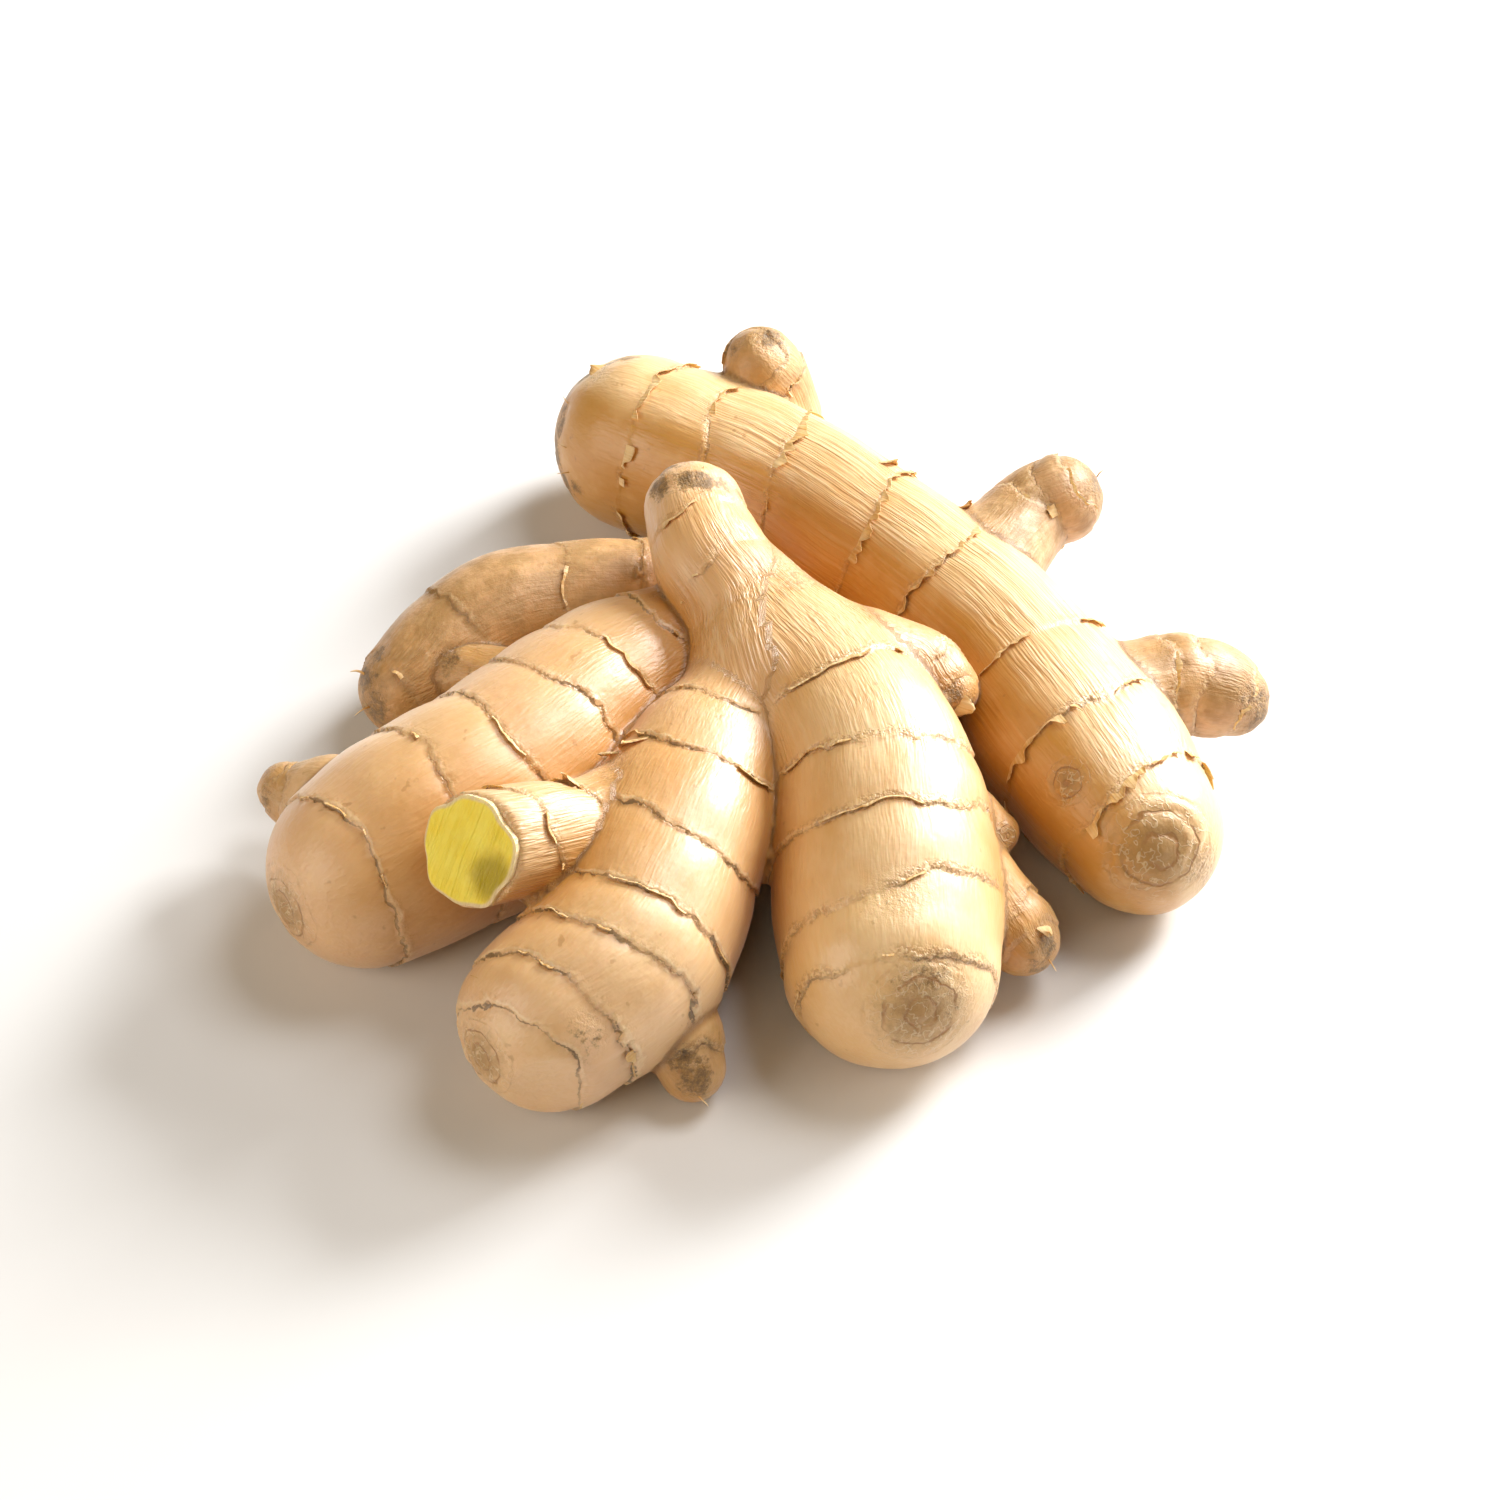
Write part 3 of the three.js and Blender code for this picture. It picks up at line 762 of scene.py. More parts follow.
class GINGER_OT_scales(bpy.types.Operator):
    """Lays the thin ragged edge of an old scale leaf along each ring"""

    bl_idname = "ginger.scales"
    bl_label = "Scale edges"

    def execute(self, context):
        skin = context.scene.ginger_skin
        material = scale_material(skin)
        by_name = {limb.name: limb for limb in ALL_LIMBS}
        for name, limbs in SCALE_PIECES.items():
            strips = []
            for limb_name in limbs:
                limb = by_name[limb_name]
                for number in range(len(limb.rings)):
                    strip = self.strip(limb, number, skin)
                    if strip:
                        strips.append(strip)
            finish_piece(join(strips, name), material)
        return {"FINISHED"}

    def strip(self, limb, number, skin):
        index = ALL_LIMBS.index(limb)
        place = limb.rings[number][0]
        round_it = 2 * math.pi * float(np.interp(place, limb.place, limb.radius))
        piece, across, outward = blank_strip(max(40, round(round_it / STRIP_CELL)), 3)
        angle = 2 * math.pi * (across - 0.5)
        target = limb.ring_places(np.zeros(len(angle)), angle)[number]
        around = columns(target, limb.radius[0] * np.cos(angle), limb.radius[0] * np.sin(angle))
        fray = layered(around, (0.5, 1.3, 20 + number), (0.5, 4.0, 40 + number))
        reach = 0.15 + limb.ragged * np.clip(0.3 + 2.2 * fray, 0, 2.2)
        ahead = -0.5 + outward * (0.5 + reach)
        points = self.on_limb(limb, target + ahead, angle)
        for _ in range(3):
            points, form = settle(points, 2)
            found = limb.locate(points)
            miss = target + ahead - ring_stray(points, skin) - found[2]
            nearest = np.clip(np.searchsorted(limb.place, found[2]), 0, len(limb.place) - 1)
            points = points + limb.tangent[nearest] * np.clip(miss, -3, 3)[:, None]
        points, form = settle(points, 2)
        lip = skin.lip / MM * np.exp(np.minimum(ahead, 0) / LIP_RISE)
        lift = -0.3 + outward * (0.26 + 0.3 * limb.ragged * (1 + fray))
        folds = bud_folds(points)[1]
        height = lip + skin_lumps(points, worn_places(points)) + folds + lift
        gone = (form.weight[index] < 0.8) | form.on_cut | (points[:, 2] < GROUND + 0.4)
        patchy = layered(around, (1.0, 6.0, 60 + number), (0.5, 1.8, 70 + number))
        gone |= patchy < 0.55 - 0.6 * limb.ragged
        points = points + form.normal * height[:, None]
        move_corners(piece.data, inside_box(to_metres(points), STRIP_INSET))
        keep_strip(piece, across * round_it, outward, number)
        picked = [any(gone[v] for v in face.vertices) for face in piece.data.polygons]
        edit(piece, lambda: bpy.ops.mesh.delete(type="FACE"), faces=picked)
        if not piece.data.polygons:
            bpy.data.objects.remove(piece)
            return None
        edit(piece, merge_corners(0.02))
        thicken(piece, 0.1)
        return piece

    def on_limb(self, limb, along, angle):
        spot = [np.interp(along, limb.place, values[:, k]) for values in (limb.centre, limb.top, limb.side)
                for k in range(3)]
        radius = np.interp(along, limb.place, limb.radius)
        centre, top, side = (np.stack(spot[k:k + 3], axis=1) for k in (0, 3, 6))
        return centre + radius[:, None] * (top * np.cos(angle)[:, None] + side * np.sin(angle)[:, None])


# Leaf-like flaps: where each stands, where it points, its width, length and how far it lifts.
FLAPS = [
    ((-20, -15.5, 38), (-0.5, -0.8, 0.3), 6.5, 4.0, 1.2),
    ((-22.5, -16.5, 36), (-0.8, -0.3, 0.2), 5.0, 3.5, 1.0),
    ((-29.5, -28, 39), (-0.75, -0.5, 0.4), 5.5, 3.4, 1.1), ((25.5, 63, 32), (0.7, -0.6, 0.3), 6.0, 3.0, 1.1),
    ((40, 53, 28.5), (0.7, -0.6, 0.3), 5.5, 3.0, 0.9), ((-28, 88, 30), (-0.6, 0.5, 0.3), 4.0, 2.4, 0.5),
    ((37, -2, 32), (0.6, -0.7, 0.1), 4.5, 2.8, 0.8), ((51, -41, 17), (0.5, -0.8, 0.2), 3.5, 2.4, 0.6),
]


class GINGER_OT_flaps(bpy.types.Operator):
    """Stands small dry leaf flaps on the skin"""

    bl_idname = "ginger.flaps"
    bl_label = "Leaf flaps"

    def execute(self, context):
        skin = context.scene.ginger_skin
        flaps = [self.flap(number, *facts) for number, facts in enumerate(FLAPS)]
        finish_piece(join(flaps, "leaf_flaps"), scale_material(skin))
        return {"FINISHED"}

    def flap(self, number, place, heading, width, length, lift):
        piece, across, outward = blank_strip(12, 8)
        root, form = settle(np.array([place], float))
        up = form.normal[0]
        heading = np.array(heading) - up * (np.array(heading) @ up)
        heading = heading / np.linalg.norm(heading)
        beside = np.cross(up, heading)
        aside = (across - 0.5) * width * np.sqrt(np.clip(1.12 - outward**3, 0.001, 1))
        fray = lattice_noise(columns(across * 9, outward * 2, 0 * across), 1.0, 80 + number)
        forward = outward * length * (1 - 0.9 * (across - 0.5) ** 2) * (1 + 0.3 * fray)
        points = root + heading * forward[:, None] + beside * aside[:, None]
        points, form = settle(points)
        curl = 0.5 * np.cos((across - 0.5) * math.pi * 1.6) * outward
        height = -0.5 + outward * 0.7 + lift * outward**1.7 + curl + 0.18 * fray
        height = height + skin_lumps(points, 0.0)
        points = points + form.normal * height[:, None]
        move_corners(piece.data, inside_box(to_metres(points), STRIP_INSET))
        keep_strip(piece, across * width, outward, number)
        thicken(piece, 0.25)
        return piece


# Root threads: where each leaves the skin, which way it leans, its length and thickness.
THREADS = [
    ((-72, 20, 17), (-0.9, 0.1, 0.25), 2.6, 0.55), ((-72, 15, 13), (-0.8, -0.4, 0.1), 2.5, 0.4),
    ((-36, 75, 24), (-0.6, 0.1, 0.6), 2.2, 0.3), ((-37, 72, 20), (-0.8, -0.2, 0.3), 2.6, 0.3),
    ((-34, 84, 27), (-0.6, 0.5, 0.4), 2.0, 0.3), ((-16, 39, 50), (-0.2, 0.3, 0.9), 1.2, 0.3),
    ((-9, 40, 51), (0.2, 0.4, 0.8), 1.2, 0.3), ((30, 59, 30), (0.6, 0.2, 0.7), 2.2, 0.3),
    ((42, 51, 28), (0.6, 0.4, 0.6), 1.8, 0.3), ((66, 61, 29), (0.7, 0.5, 0.3), 1.6, 0.3),
    ((52, -44, 12), (0.5, -0.8, -0.1), 2.4, 0.35), ((-9, -70, 7), (0.3, -0.8, 0.1), 2.2, 0.35),
    ((10, 40, 22), (0.7, 0.6, 0.2), 3.0, 0.35), ((-50, 44, 14), (-0.2, 0.9, 0.1), 3.2, 0.4),
    ((10, 84, 14), (0.4, 0.9, 0.0), 3.5, 0.4), ((45, 40, 10), (0.7, 0.7, -0.2), 3.0, 0.4),
]


class GINGER_OT_threads(bpy.types.Operator):
    """Grows short dry root threads from the skin"""

    bl_idname = "ginger.threads"
    bl_label = "Root threads"

    def execute(self, context):
        skin = context.scene.ginger_skin
        threads = [self.thread(number, *facts) for number, facts in enumerate(THREADS)]
        finish_piece(join(threads, "root_threads"), thread_material(skin))
        return {"FINISHED"}

    def thread(self, number, place, heading, length, thickness):
        piece, across, outward = blank_strip(7, 12)
        root, form = settle(np.array([place], float))
        start = root[0] - form.normal[0] * 0.8
        heading = np.array(heading) / np.linalg.norm(heading)
        beside = np.cross(heading, form.normal[0] + np.array([0.11, 0.07, 0.03]))
        beside = beside / np.linalg.norm(beside)
        over = np.cross(heading, beside)
        bend = length * (0.22 * np.sin(2.6 * outward + number) - 0.22 * math.sin(number))
        droop = -0.25 * length * outward**2
        middle = start + heading * (outward * (length + 0.8))[:, None] + beside * bend[:, None]
        middle[:, 2] += droop
        slim = thickness * 0.5 * np.sqrt(np.clip(1 - outward**2.2, 0, 1)) * np.clip(outward * 12, 0, 1)
        turn = across * 2 * math.pi
        points = middle + slim[:, None] * (beside * np.cos(turn)[:, None] + over * np.sin(turn)[:, None])
        move_corners(piece.data, inside_box(to_metres(points), STRIP_INSET))
        keep_strip(piece, across * thickness, outward, number)
        edit(piece, merge_corners(0.004), face_outwards)
        bpy.ops.object.shade_smooth()
        return piece


class GINGER_OT_cut(bpy.types.Operator):
    """Lays the fresh, fibrous face of flesh over the cut stub"""

    bl_idname = "ginger.cut"
    bl_label = "Cut face"

    def execute(self, context):
        flesh = context.scene.ginger_flesh
        piece, across, outward = blank_strip(FLESH_CELLS, FLESH_CELLS)
        square = columns(across, outward) * 2 - 1
        reach = np.abs(square).max(1)
        length = np.linalg.norm(square, axis=1) + 1e-9
        disc = square / length[:, None] * reach[:, None]
        turn = np.arctan2(disc[:, 1], disc[:, 0])
        beside = np.cross((0, 0, 1.0), CUT_FACING)
        beside = beside / np.linalg.norm(beside)
        over = np.cross(CUT_FACING, beside)
        heading = beside * np.cos(turn)[:, None] + over * np.sin(turn)[:, None]
        near, far = np.zeros(len(turn)), np.full(len(turn), 16.0)
        for _ in range(22):
            half = (near + far) / 2
            outside = ALL_LIMBS[STUB].locate(CUT_POINT + heading * half[:, None])[0] > 0
            near, far = np.where(outside, near, half), np.where(outside, half, far)
        edge = near * (0.955 - 0.035 * np.cos(5 * turn + 0.7) + 0.02 * np.cos(9 * turn))
        spot = columns(reach * edge * np.cos(turn), reach * edge * np.sin(turn))
        rim = np.clip((1 - reach) * edge / 1.0, 0, 1)
        facet = 0.55 * np.clip((spot[:, 0] + 0.4 * spot[:, 1] + 1.5) / 5, -1, 1)
        fibres = 0.16 * lattice_noise(columns(spot[:, 0], spot[:, 1] * 0.25, 0 * turn), 0.9, 11)
        pits = 0.2 * lattice_noise(columns(spot[:, 0], spot[:, 1], 0 * turn), 2.4, 12)
        height = 0.1 + (0.35 - facet * 0.6 + fibres + pits) * np.sqrt(rim)
        points = CUT_POINT + beside * spot[:, :1] + over * spot[:, 1:] + CUT_FACING * height[:, None]
        move_corners(piece.data, to_metres(points))
        keep_values(piece, "face", columns(spot[:, 0] * MM, spot[:, 1] * MM, rim))
        inwards = {"value": tuple(-CUT_FACING * FLESH_DEPTH * MM)}
        edit(piece, lambda: bpy.ops.mesh.extrude_region_move(TRANSFORM_OT_translate=inwards))
        edit(piece, face_outwards)
        bpy.ops.object.shade_smooth_by_angle(angle=math.radians(60))
        finish_piece(join([piece], "cut_face"), flesh_material(flesh))
        return {"FINISHED"}


# ------------------------------------------------------------------ materials


class Reading:
    """A number that varies over a piece. Arithmetic with it adds nodes to its tree."""

    def __init__(self, tree, socket):
        self.tree, self.socket = tree, socket

    def step(self, operation, other=0.0):
        node = put(self.tree, "ShaderNodeMath", {0: self, 1: other}, operation=operation)
        return Reading(self.tree, node.outputs[0])

    def __add__(self, other):
        return self.step("ADD", other)

    def __sub__(self, other):
        return self.step("SUBTRACT", other)

    def __mul__(self, other):
        return self.step("MULTIPLY", other)

    def __truediv__(self, other):
        return self.step("DIVIDE", other)

    def __abs__(self):
        return self.step("ABSOLUTE")

    def ramp(self, low, high, to_low=0.0, to_high=1.0):
        """The number taken smoothly from one range to another."""
        node = put(self.tree, "ShaderNodeMapRange", {
            "Value": self, "From Min": low, "From Max": high, "To Min": to_low, "To Max": to_high,
        }, interpolation_type="SMOOTHSTEP")
        return Reading(self.tree, node.outputs["Result"])


def feed(tree, socket, value):
    """Links a reading or another node's output to the socket, or sets the socket's own value."""
    if isinstance(value, Reading):
        value = value.socket
    if isinstance(value, bpy.types.NodeSocket):
        tree.links.new(value, socket)
    elif socket.type == "RGBA":
        socket.default_value = (*value[:3], 1.0)
    else:
        socket.default_value = value


def put(tree, kind, inputs=None, **settings):
    """Adds a node, sets it up and feeds its inputs."""
    node = tree.nodes.new(kind)
    for name, value in settings.items():
        setattr(node, name, value)
    for name, value in (inputs or {}).items():
        feed(tree, node.inputs[name], value)
    return node


def mix(tree, share, first, second):
    """A blend of two colours."""
    return put(tree, "ShaderNodeMix", {0: share, 6: first, 7: second}, data_type="RGBA").outputs[2]


def paint(tree, colour, *coats):
    """Lays more colours over the first, each as strongly as its reading says."""
    for share, coat in coats:
        colour = mix(tree, share, colour, coat)
    return colour


def noise(tree, place, scale, detail=3.0, roughness=0.55):
    node = put(tree, "ShaderNodeTexNoise", {
        "Vector": place, "Scale": scale, "Detail": detail, "Roughness": roughness,
    })
    return Reading(tree, node.outputs["Fac"])


def attribute(tree, name, output="Vector"):
    return put(tree, "ShaderNodeAttribute", attribute_name=name).outputs[output]


def split(tree, name):
    """The three numbers that a piece carries under that name."""
    node = put(tree, "ShaderNodeSeparateXYZ", {0: attribute(tree, name)})
    return [Reading(tree, part) for part in node.outputs]


def join_up(tree, *parts):
    return put(tree, "ShaderNodeCombineXYZ", dict(enumerate(parts))).outputs["Vector"]


def object_place(tree):
    return put(tree, "ShaderNodeTexCoord").outputs["Object"]


def effect(tree, name, place, titles, build):
    """What a shared effect reads at a place. Its node group is built the first time."""
    group = bpy.data.node_groups.get(name)
    if group is None:
        group = bpy.data.node_groups.new(name, "ShaderNodeTree")
        group.interface.new_socket("Place", in_out="INPUT", socket_type="NodeSocketVector")
        for title in titles:
            group.interface.new_socket(title, in_out="OUTPUT", socket_type="NodeSocketFloat")
        given = put(group, "NodeGroupInput").outputs["Place"]
        put(group, "NodeGroupOutput", dict(zip(titles, build(group, given))))
    node = put(tree, "ShaderNodeGroup", node_tree=group)
    feed(tree, node.inputs["Place"], place)
    return [Reading(tree, output) for output in node.outputs]


def build_mottle(group, given):
    return (noise(group, given, 26.0, 2.0), noise(group, given, 120.0, 3.0, 0.6),
            noise(group, given, 900.0, 1.0))


def mottle(tree, place):
    """Patchiness at three sizes, from 0 to 1."""
    return effect(tree, "Mottle", place, ("Broad", "Middling", "Fine"), build_mottle)


def build_fibres(group, given):
    sway = put(group, "ShaderNodeTexNoise", {"Vector": given, "Scale": 75.0, "Detail": 1.0})
    shift = put(group, "ShaderNodeVectorMath", {
        0: sway.outputs["Color"], 1: (FIBRE_SWAY,) * 3, 2: (-FIBRE_SWAY / 2,) * 3,
    }, operation="MULTIPLY_ADD")
    bent = put(group, "ShaderNodeVectorMath", {0: given, 1: shift.outputs[0]}, operation="ADD").outputs[0]

    def stretched(along, across, detail, roughness):
        grain = put(group, "ShaderNodeMapping", {"Vector": bent, "Scale": (along, across, across)})
        return noise(group, grain.outputs["Vector"], 1.0, detail, roughness)

    return (stretched(26.0, 850.0, 2.0, 0.6).ramp(0.3, 0.7),
            stretched(60.0, 2300.0, 1.0, 0.65).ramp(0.35, 0.7),
            stretched(210.0, 1100.0, 1.0, 0.6).ramp(0.36, 0.66))


def fibres(tree, grain):
    """Fibres along a piece: the furrows between them, fine streaks, and short dashes."""
    return effect(tree, "Fibres", grain, ("Furrows", "Streaks", "Dashes"), build_fibres)


def new_material(name):
    material = bpy.data.materials.new(name)
    material.use_nodes = True
    tree = material.node_tree
    tree.nodes.clear()
    shader = put(tree, "ShaderNodeBsdfPrincipled")
    output = put(tree, "ShaderNodeOutputMaterial", {"Surface": shader.outputs["BSDF"]})
    output.is_active_output = True
    return material, tree, shader


def set_up(tree, shader, colour, roughness, lift, strength, depth, constants):
    """Feeds the shader its colour, roughness and bump, and sets its constant values."""
    bump = put(tree, "ShaderNodeBump", {"Height": lift, "Strength": strength, "Distance": depth * MM})
    values = {"Base Color": colour, "Roughness": roughness, "Normal": bump.outputs["Normal"], **constants}
    for name, value in values.items():
        feed(tree, shader.inputs[name], value)


def skin_material(skin):
    """Satin ginger skin: mottled tan, fibres along each limb, a thin ragged line at each ring, and painted
    shade on its shaded side, underside, hollows and creases.
    """
    material, tree, shader = new_material("Ginger skin")
    place = object_place(tree)
    phase, gap, dark = split(tree, "rings")
    worn, from_bud, fibre = split(tree, "marks")
    crease, near, band = split(tree, "folds")
    shade_gold, pink, bright = split(tree, "hue")
    tone = Reading(tree, attribute(tree, "tone", "Fac"))
    broad, middling, fine = mottle(tree, place)
    furrows, streaks, dashes = fibres(tree, attribute(tree, "grain"))
    bundled = fibre * noise(tree, place, 85.0, 2.0, 0.6).ramp(0.3, 0.62, 0.35, 1.0)

    # The skin itself: patches, the limb's own hue with golden painted shade on its shaded side and underside,
    # fibres, painted shade in the hollows and creases between limbs, and its dry brown tone, which is partly
    # painted shade.
    joint = put(tree, "ShaderNodeTexWhiteNoise", {"W": phase.step("FLOOR")}, noise_dimensions="1D")
    blush = Reading(tree, joint.outputs["Value"]) * 0.3 + pink
    # Dry brown, partly real dry skin and partly painted shade on limbs that sit in shade.
    dry = tone * noise(tree, place, 170.0, 3.0, 0.65).ramp(0.34, 0.62, 0.35, 1.0)
    colour = paint(
        tree, mix(tree, broad.ramp(0.35, 0.65), skin.pale, skin.tan),
        (bright * middling.ramp(0.25, 0.6, 0.6, 1.0), skin.bright),
        # painted shade: golden tint on the shaded side and underside
        (shade_gold * middling.ramp(0.25, 0.6, 0.85, 1.0), skin.shade_gold),
        (blush * broad.ramp(0.6, 0.3, 0.5, 1.0), skin.pink),
        (middling.ramp(0.5, 0.75) * 0.35, skin.pale),
        (dashes.ramp(0.7, 0.1) * 0.14, skin.tan),
        (streaks.ramp(0.8, 0.1) * bundled * 0.22, skin.brown),
        (furrows.ramp(0.45, 0.0) * bundled * 0.2, skin.brown),
        (furrows.ramp(0.55, 0.95) * bundled * 0.6, skin.cream),
        # painted shade in the hollows between limbs
        (near * 0.95, skin.hollow_shade),
        # painted shade: brown along the creases where limbs meet
        (crease.ramp(0.3, 1.0) * 0.8, skin.brown),
        (dry, skin.scar))

    # Rings: a broken dark line, brown stipple before it and a pale fringe beside it.
    jagged = noise(tree, place, 700.0, 2.0, 0.65) * 1.1 - 0.55
    from_ring = ((phase + 0.5).step("FRACT") - 0.5) * gap + jagged
    broken = noise(tree, place, 130.0, 3.0, 0.7).ramp(0.34, 0.62)
    line = (abs(from_ring - 0.15) / (broken * 0.16 + 0.07)).ramp(0.6, 1.5, 1.0, 0.0)
    line = line * dark * (broken * 0.55 + 0.35)
    stipple = noise(tree, place, 1300.0, 1.0, 0.7).ramp(0.42, 0.6)
    speckle = abs(from_ring + 0.5).ramp(0.2, 1.8, 1.0, 0.0) * stipple * band * dark.ramp(0.0, 0.3)
    fringe = abs(from_ring + 0.55).ramp(0.12, 0.5, 1.0, 0.0)
    colour = paint(tree, colour, (fringe * dark * 0.3, skin.cream), (speckle * 0.6, skin.brown),
                   (line, skin.ring))

    # Worn places: a corky patch with dark flecks and pits.
    grit = noise(tree, place, 420.0, 4.0, 0.8) * 2.2 - 1.1
    corky = (worn + grit).ramp(0.35, 0.8) * worn.ramp(0.0, 0.35)
    flecks = noise(tree, place, 1100.0, 2.0, 0.75).ramp(0.38, 0.62)
    pit = (worn + grit).ramp(0.75, 1.1) * worn.ramp(0.3, 0.7) * 0.85
    colour = paint(tree, colour, (corky * 0.9, mix(tree, flecks, skin.scar, skin.ring)), (pit, skin.ring))

    # Tips: brown round the bud, with thin curly fibres and fold lines; and specks all over.
    tip = (from_bud + grit * 0.5).ramp(0.1, 0.95, 1.0, 0.0)
    curls = abs(noise(tree, place, 330.0, 2.0, 0.6) - 0.5).ramp(0.006, 0.028, 1.0, 0.0)
    curls = curls * from_bud.ramp(0.5, 1.1, 1.0, 0.0)
    turn = (from_bud * 3.4 + noise(tree, place, 220.0, 2.0, 0.65)).step("FRACT")
    fold_line = abs(turn - 0.5).ramp(0.02, 0.12, 1.0, 0.0)
    fold_line = fold_line * from_bud.ramp(0.65, 1.0, 1.0, 0.0) * broken.ramp(0.0, 1.0, 0.1, 1.0)
    specks = noise(tree, place, 360.0, 2.0, 0.5).ramp(0.69, 0.75)
    colour = paint(tree, colour, (tip * 0.85, skin.scar), (curls * 0.35, skin.cream),
                   (fold_line * 0.8, skin.brown), (specks * 0.4, skin.brown))

    dull = corky.step("MAXIMUM", dry.step("MAXIMUM", tip * 0.8))
    lift = (furrows * (bundled * 1.3) + streaks * (bundled * 0.8 + 0.04) + dashes * 0.18 + curls * 0.6
            + fine * 0.2 + middling * 0.8 + grit * worn.ramp(0.0, 0.4) * 1.6 + grit * tone * 0.7
            - fold_line * 0.8 - line * 0.7 - speckle * 0.5)
    set_up(tree, shader, colour, dull * 0.25 + middling.ramp(0.3, 0.7, 0.38, 0.5), lift, 0.7, 0.3, {
        "Subsurface Weight": 0.18, "Subsurface Radius": (1.0, 0.42, 0.14), "Subsurface Scale": 4.5 * MM,
        "Specular IOR Level": 0.8, "Coat Weight": 0.35, "Coat Roughness": 0.42,
        "Sheen Weight": 0.12, "Sheen Roughness": 0.4})
    return material


def scale_material(skin):
    """Dry papery scale: straw and brown, with fibres that run out to its torn edge."""
    name = "Dry scale"
    if name in bpy.data.materials:
        return bpy.data.materials[name]
    material, tree, shader = new_material(name)
    place = object_place(tree)
    along, outward, number = split(tree, "strip")
    _, middling, fine = mottle(tree, place)
    furrows, streaks, _ = fibres(tree, join_up(tree, outward * (2 * MM), along, number))
    torn = noise(tree, place, 210.0, 3.0, 0.6).ramp(0.42, 0.62) * outward.ramp(0.3, 0.95)
    colour = paint(tree, mix(tree, middling.ramp(0.35, 0.65), skin.pale, skin.tan),
                   (torn * 0.6, skin.brown), (streaks * 0.3, skin.cream))
    set_up(tree, shader, colour, fine.ramp(0.3, 0.7, 0.5, 0.7), furrows + fine * 0.6, 0.6, 0.2, {
        "Subsurface Weight": 0.15, "Subsurface Radius": (1.0, 0.5, 0.2), "Subsurface Scale": 1.5 * MM})
    return material


def thread_material(skin):
    """Dry root thread: brown at the skin, straw at the tip."""
    material, tree, shader = new_material("Root thread")
    _, middling, fine = mottle(tree, object_place(tree))
    outward = split(tree, "strip")[1]
    colour = paint(tree, mix(tree, outward.ramp(0.2, 0.9), skin.tan, skin.cream), (middling * 0.5, skin.tan))
    set_up(tree, shader, colour, fine.ramp(0.3, 0.7, 0.55, 0.75), fine, 0.5, 0.15, {})
    return material


def flesh_material(flesh):
    """Moist yellow flesh with fine fibre ends, a darker olive patch and a pale rim."""
    material, tree, shader = new_material("Cut flesh")
    place = object_place(tree)
    across, over, rim = split(tree, "face")
    _, middling, fine = mottle(tree, place)
    furrows, streaks, _ = fibres(tree, join_up(tree, over, across, 0.0))
    right, high = (part * (1 / MM) - middle for part, middle in zip((across, over), OLIVE_PATCH))
    wander = noise(tree, place, 300.0) * 3.0 - 1.5
    patch = ((right * right + high * high).step("SQRT") + wander).ramp(2.2, 6.0, 1.0, 0.0)
    colour = paint(tree, mix(tree, middling.ramp(0.35, 0.7), flesh.yellow, flesh.lemon),
                   (streaks * 0.35, flesh.lemon), (patch * 0.9, flesh.olive),
                   (rim.ramp(0.35, 0.95, 1.0, 0.0), flesh.rim))
    lift = streaks + furrows * 0.8 + fine * 0.5
    set_up(tree, shader, colour, patch.ramp(0.0, 1.0, 0.42, 0.3), lift, 0.55, 0.25, {
        "Subsurface Weight": 0.3, "Subsurface Radius": (1.0, 0.8, 0.2), "Subsurface Scale": 3.0 * MM,
        "Specular IOR Level": 0.35})
    return material


# ------------------------------------------------------------------ stage


# The soft lights: name, azimuth and height in degrees, size in metres, share of the key light's
# power, and colour.
LIGHTS = [
    ("key", 40, 28, 0.38, 1.0, (0.94, 0.97, 1.0)),
    ("upper", 30, 62, 0.4, 0.23, (0.96, 0.97, 1.0)),
    ("right edge", 5, 17, 0.5, 0.15, (1.0, 0.98, 0.95)),
    ("left key", 208, 24, 0.65, 0.22, (1.0, 0.94, 0.84)),
    ("front fill", 250, 50, 0.4, 0.05, (1.0, 0.88, 0.66)),
]


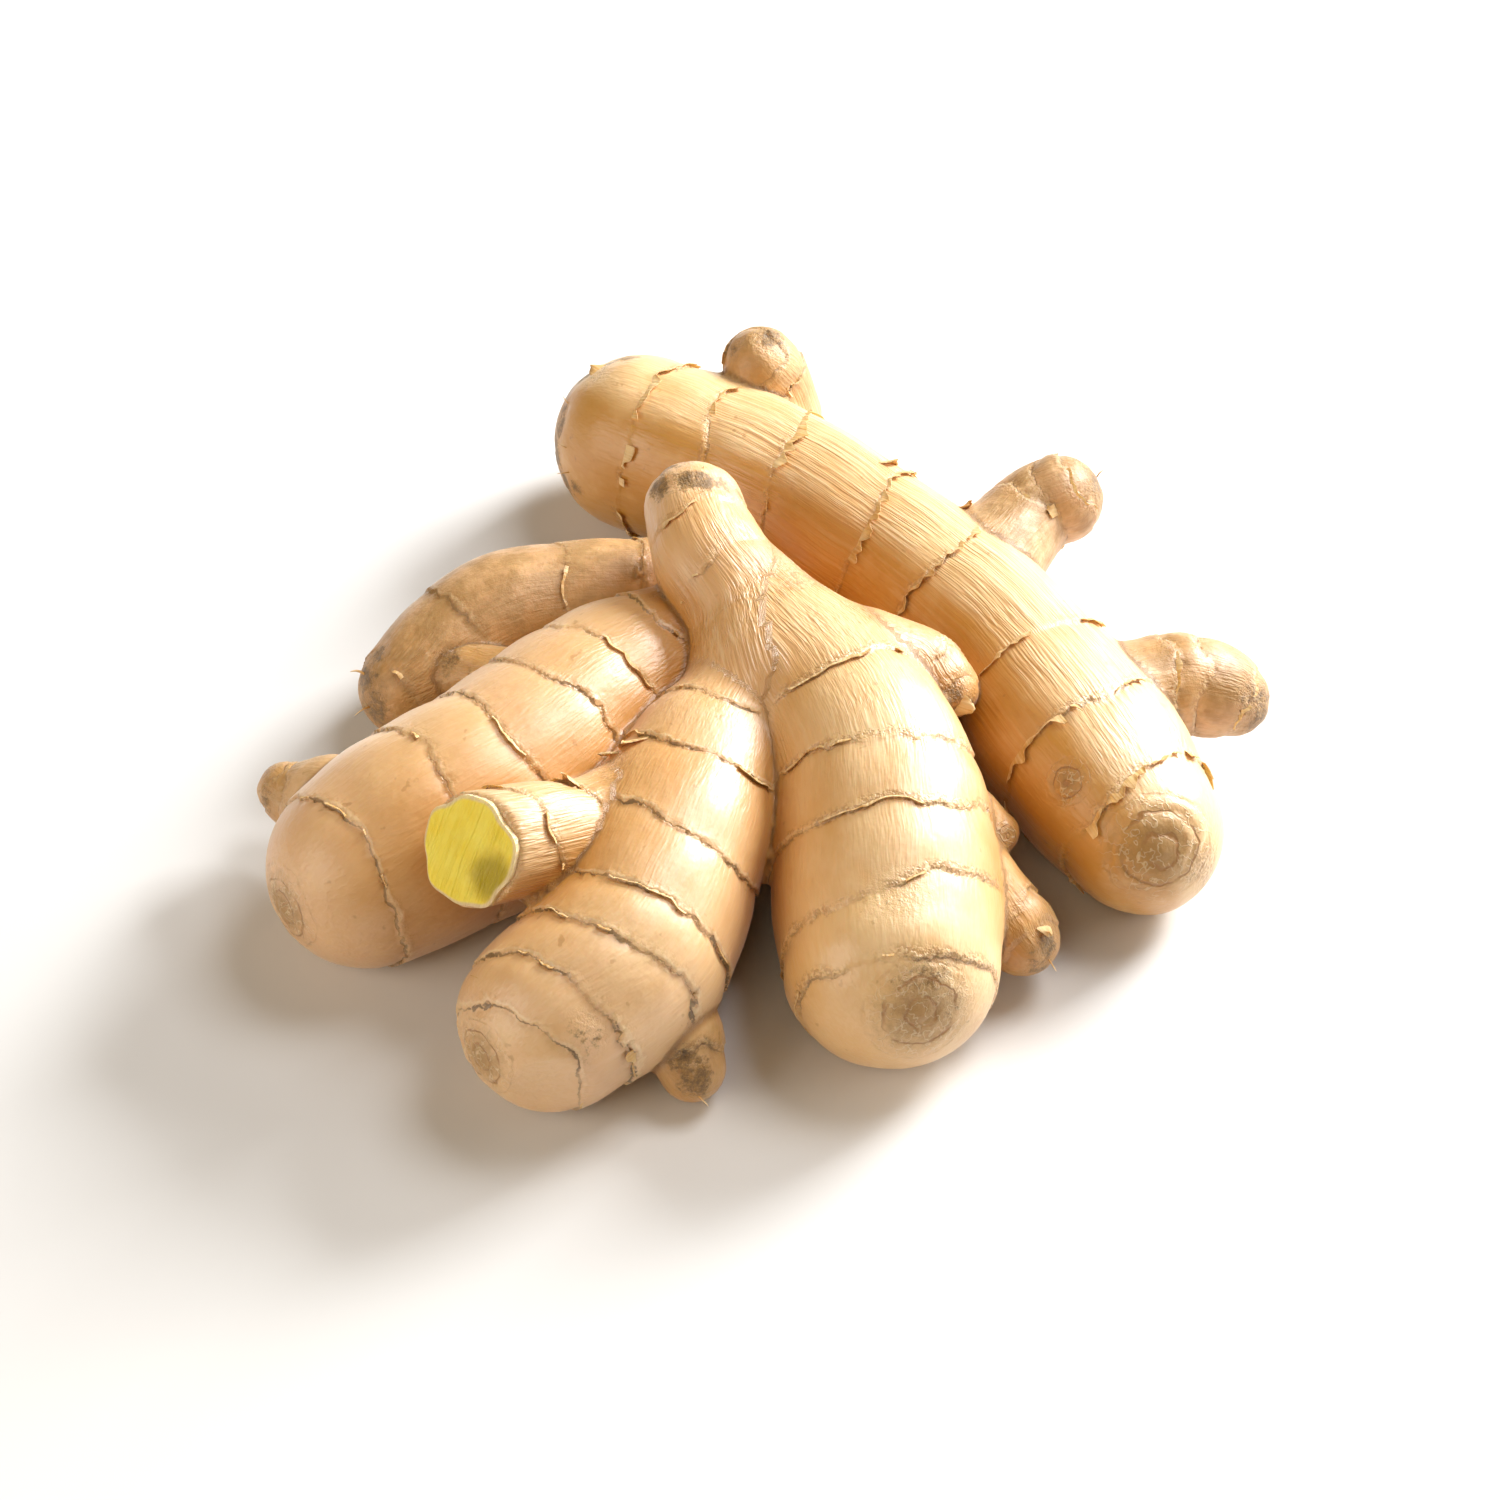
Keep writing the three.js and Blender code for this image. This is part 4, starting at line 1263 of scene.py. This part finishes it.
class GINGER_OT_studio(bpy.types.Operator):
    """Lays a pale floor, hangs soft lights and sets up the camera"""

    bl_idname = "ginger.studio"
    bl_label = "Studio"

    def execute(self, context):
        studio = context.scene.ginger_studio
        bpy.ops.object.select_all(action="DESELECT")
        bpy.ops.mesh.primitive_plane_add(size=6.0, location=(0, 0, -0.02 * MM))
        floor = context.active_object
        floor.name = "floor"
        material, tree, shader = new_material("Pale floor")
        shader.inputs["Base Color"].default_value = (0.80, 0.79, 0.77, 1)
        shader.inputs["Roughness"].default_value = 0.9
        floor.data.materials.append(material)

        world = bpy.data.worlds.new("Studio light")
        world.use_nodes = True
        backdrop = world.node_tree.nodes["Background"]
        backdrop.inputs["Color"].default_value = (1.0, 0.66, 0.36, 1)
        backdrop.inputs["Strength"].default_value = studio.surround
        context.scene.world = world

        target = Vector(to_metres(np.array([0.0, 0.0, 18.0])))
        for name, azimuth, height, size, share, colour in LIGHTS:
            self.add_light(name, azimuth, height, target, size, studio.key_power * share, colour)

        toward = Vector((0, -math.cos(studio.elevation), math.sin(studio.elevation)))
        camera = bpy.data.objects.new("camera", bpy.data.cameras.new("camera"))
        camera.data.lens = 80
        camera.data.sensor_width = 36
        camera.location = target + toward * studio.distance
        camera.rotation_euler = (-toward).to_track_quat("-Z", "Y").to_euler()
        context.scene.collection.objects.link(camera)
        context.scene.camera = camera
        context.scene.view_settings.view_transform = "Standard"
        return {"FINISHED"}

    def add_light(self, name, azimuth, height, target, size, power, colour):
        """Hangs a soft square light a metre off, at those angles in degrees."""
        data = bpy.data.lights.new(name, "AREA")
        data.size = size
        data.energy = power
        data.color = colour
        light = bpy.data.objects.new(name, data)
        turn, rise = math.radians(azimuth), math.radians(height)
        offset = Vector((math.cos(rise) * math.cos(turn), math.cos(rise) * math.sin(turn), math.sin(rise)))
        light.location = target + offset
        light.rotation_euler = (-offset).to_track_quat("-Z", "Y").to_euler()
        bpy.context.scene.collection.objects.link(light)


class GINGER_PT_panel(bpy.types.Panel):
    """Lists the pieces and their settings"""

    bl_idname = "GINGER_PT_panel"
    bl_label = "Ginger"
    bl_space_type = "VIEW_3D"
    bl_region_type = "UI"
    bl_category = "Ginger"

    def draw(self, context):
        for operator in OPERATORS:
            self.layout.operator(operator.bl_idname, text=operator.bl_label)
        for group in ("ginger_skin", "ginger_flesh", "ginger_studio"):
            settings = getattr(context.scene, group)
            for name in settings.__annotations__:
                self.layout.prop(settings, name)


GROUPS = {
    "ginger_skin": GINGER_PG_skin,
    "ginger_flesh": GINGER_PG_flesh,
    "ginger_studio": GINGER_PG_studio,
}
OPERATORS = (GINGER_OT_body, GINGER_OT_cut, GINGER_OT_scales, GINGER_OT_flaps, GINGER_OT_threads,
             GINGER_OT_studio)


def register():
    for kind in (*GROUPS.values(), *OPERATORS, GINGER_PT_panel):
        bpy.utils.register_class(kind)
    for name, kind in GROUPS.items():
        setattr(bpy.types.Scene, name, PointerProperty(type=kind))


def unregister():
    for name in GROUPS:
        delattr(bpy.types.Scene, name)
    for kind in (GINGER_PT_panel, *reversed(OPERATORS), *reversed(GROUPS.values())):
        bpy.utils.unregister_class(kind)


def main():
    register()
    bpy.ops.ginger.body()
    bpy.ops.ginger.cut()
    bpy.ops.ginger.scales()
    bpy.ops.ginger.flaps()
    bpy.ops.ginger.threads()
    bpy.ops.ginger.studio()


if __name__ == "__main__":
    main()
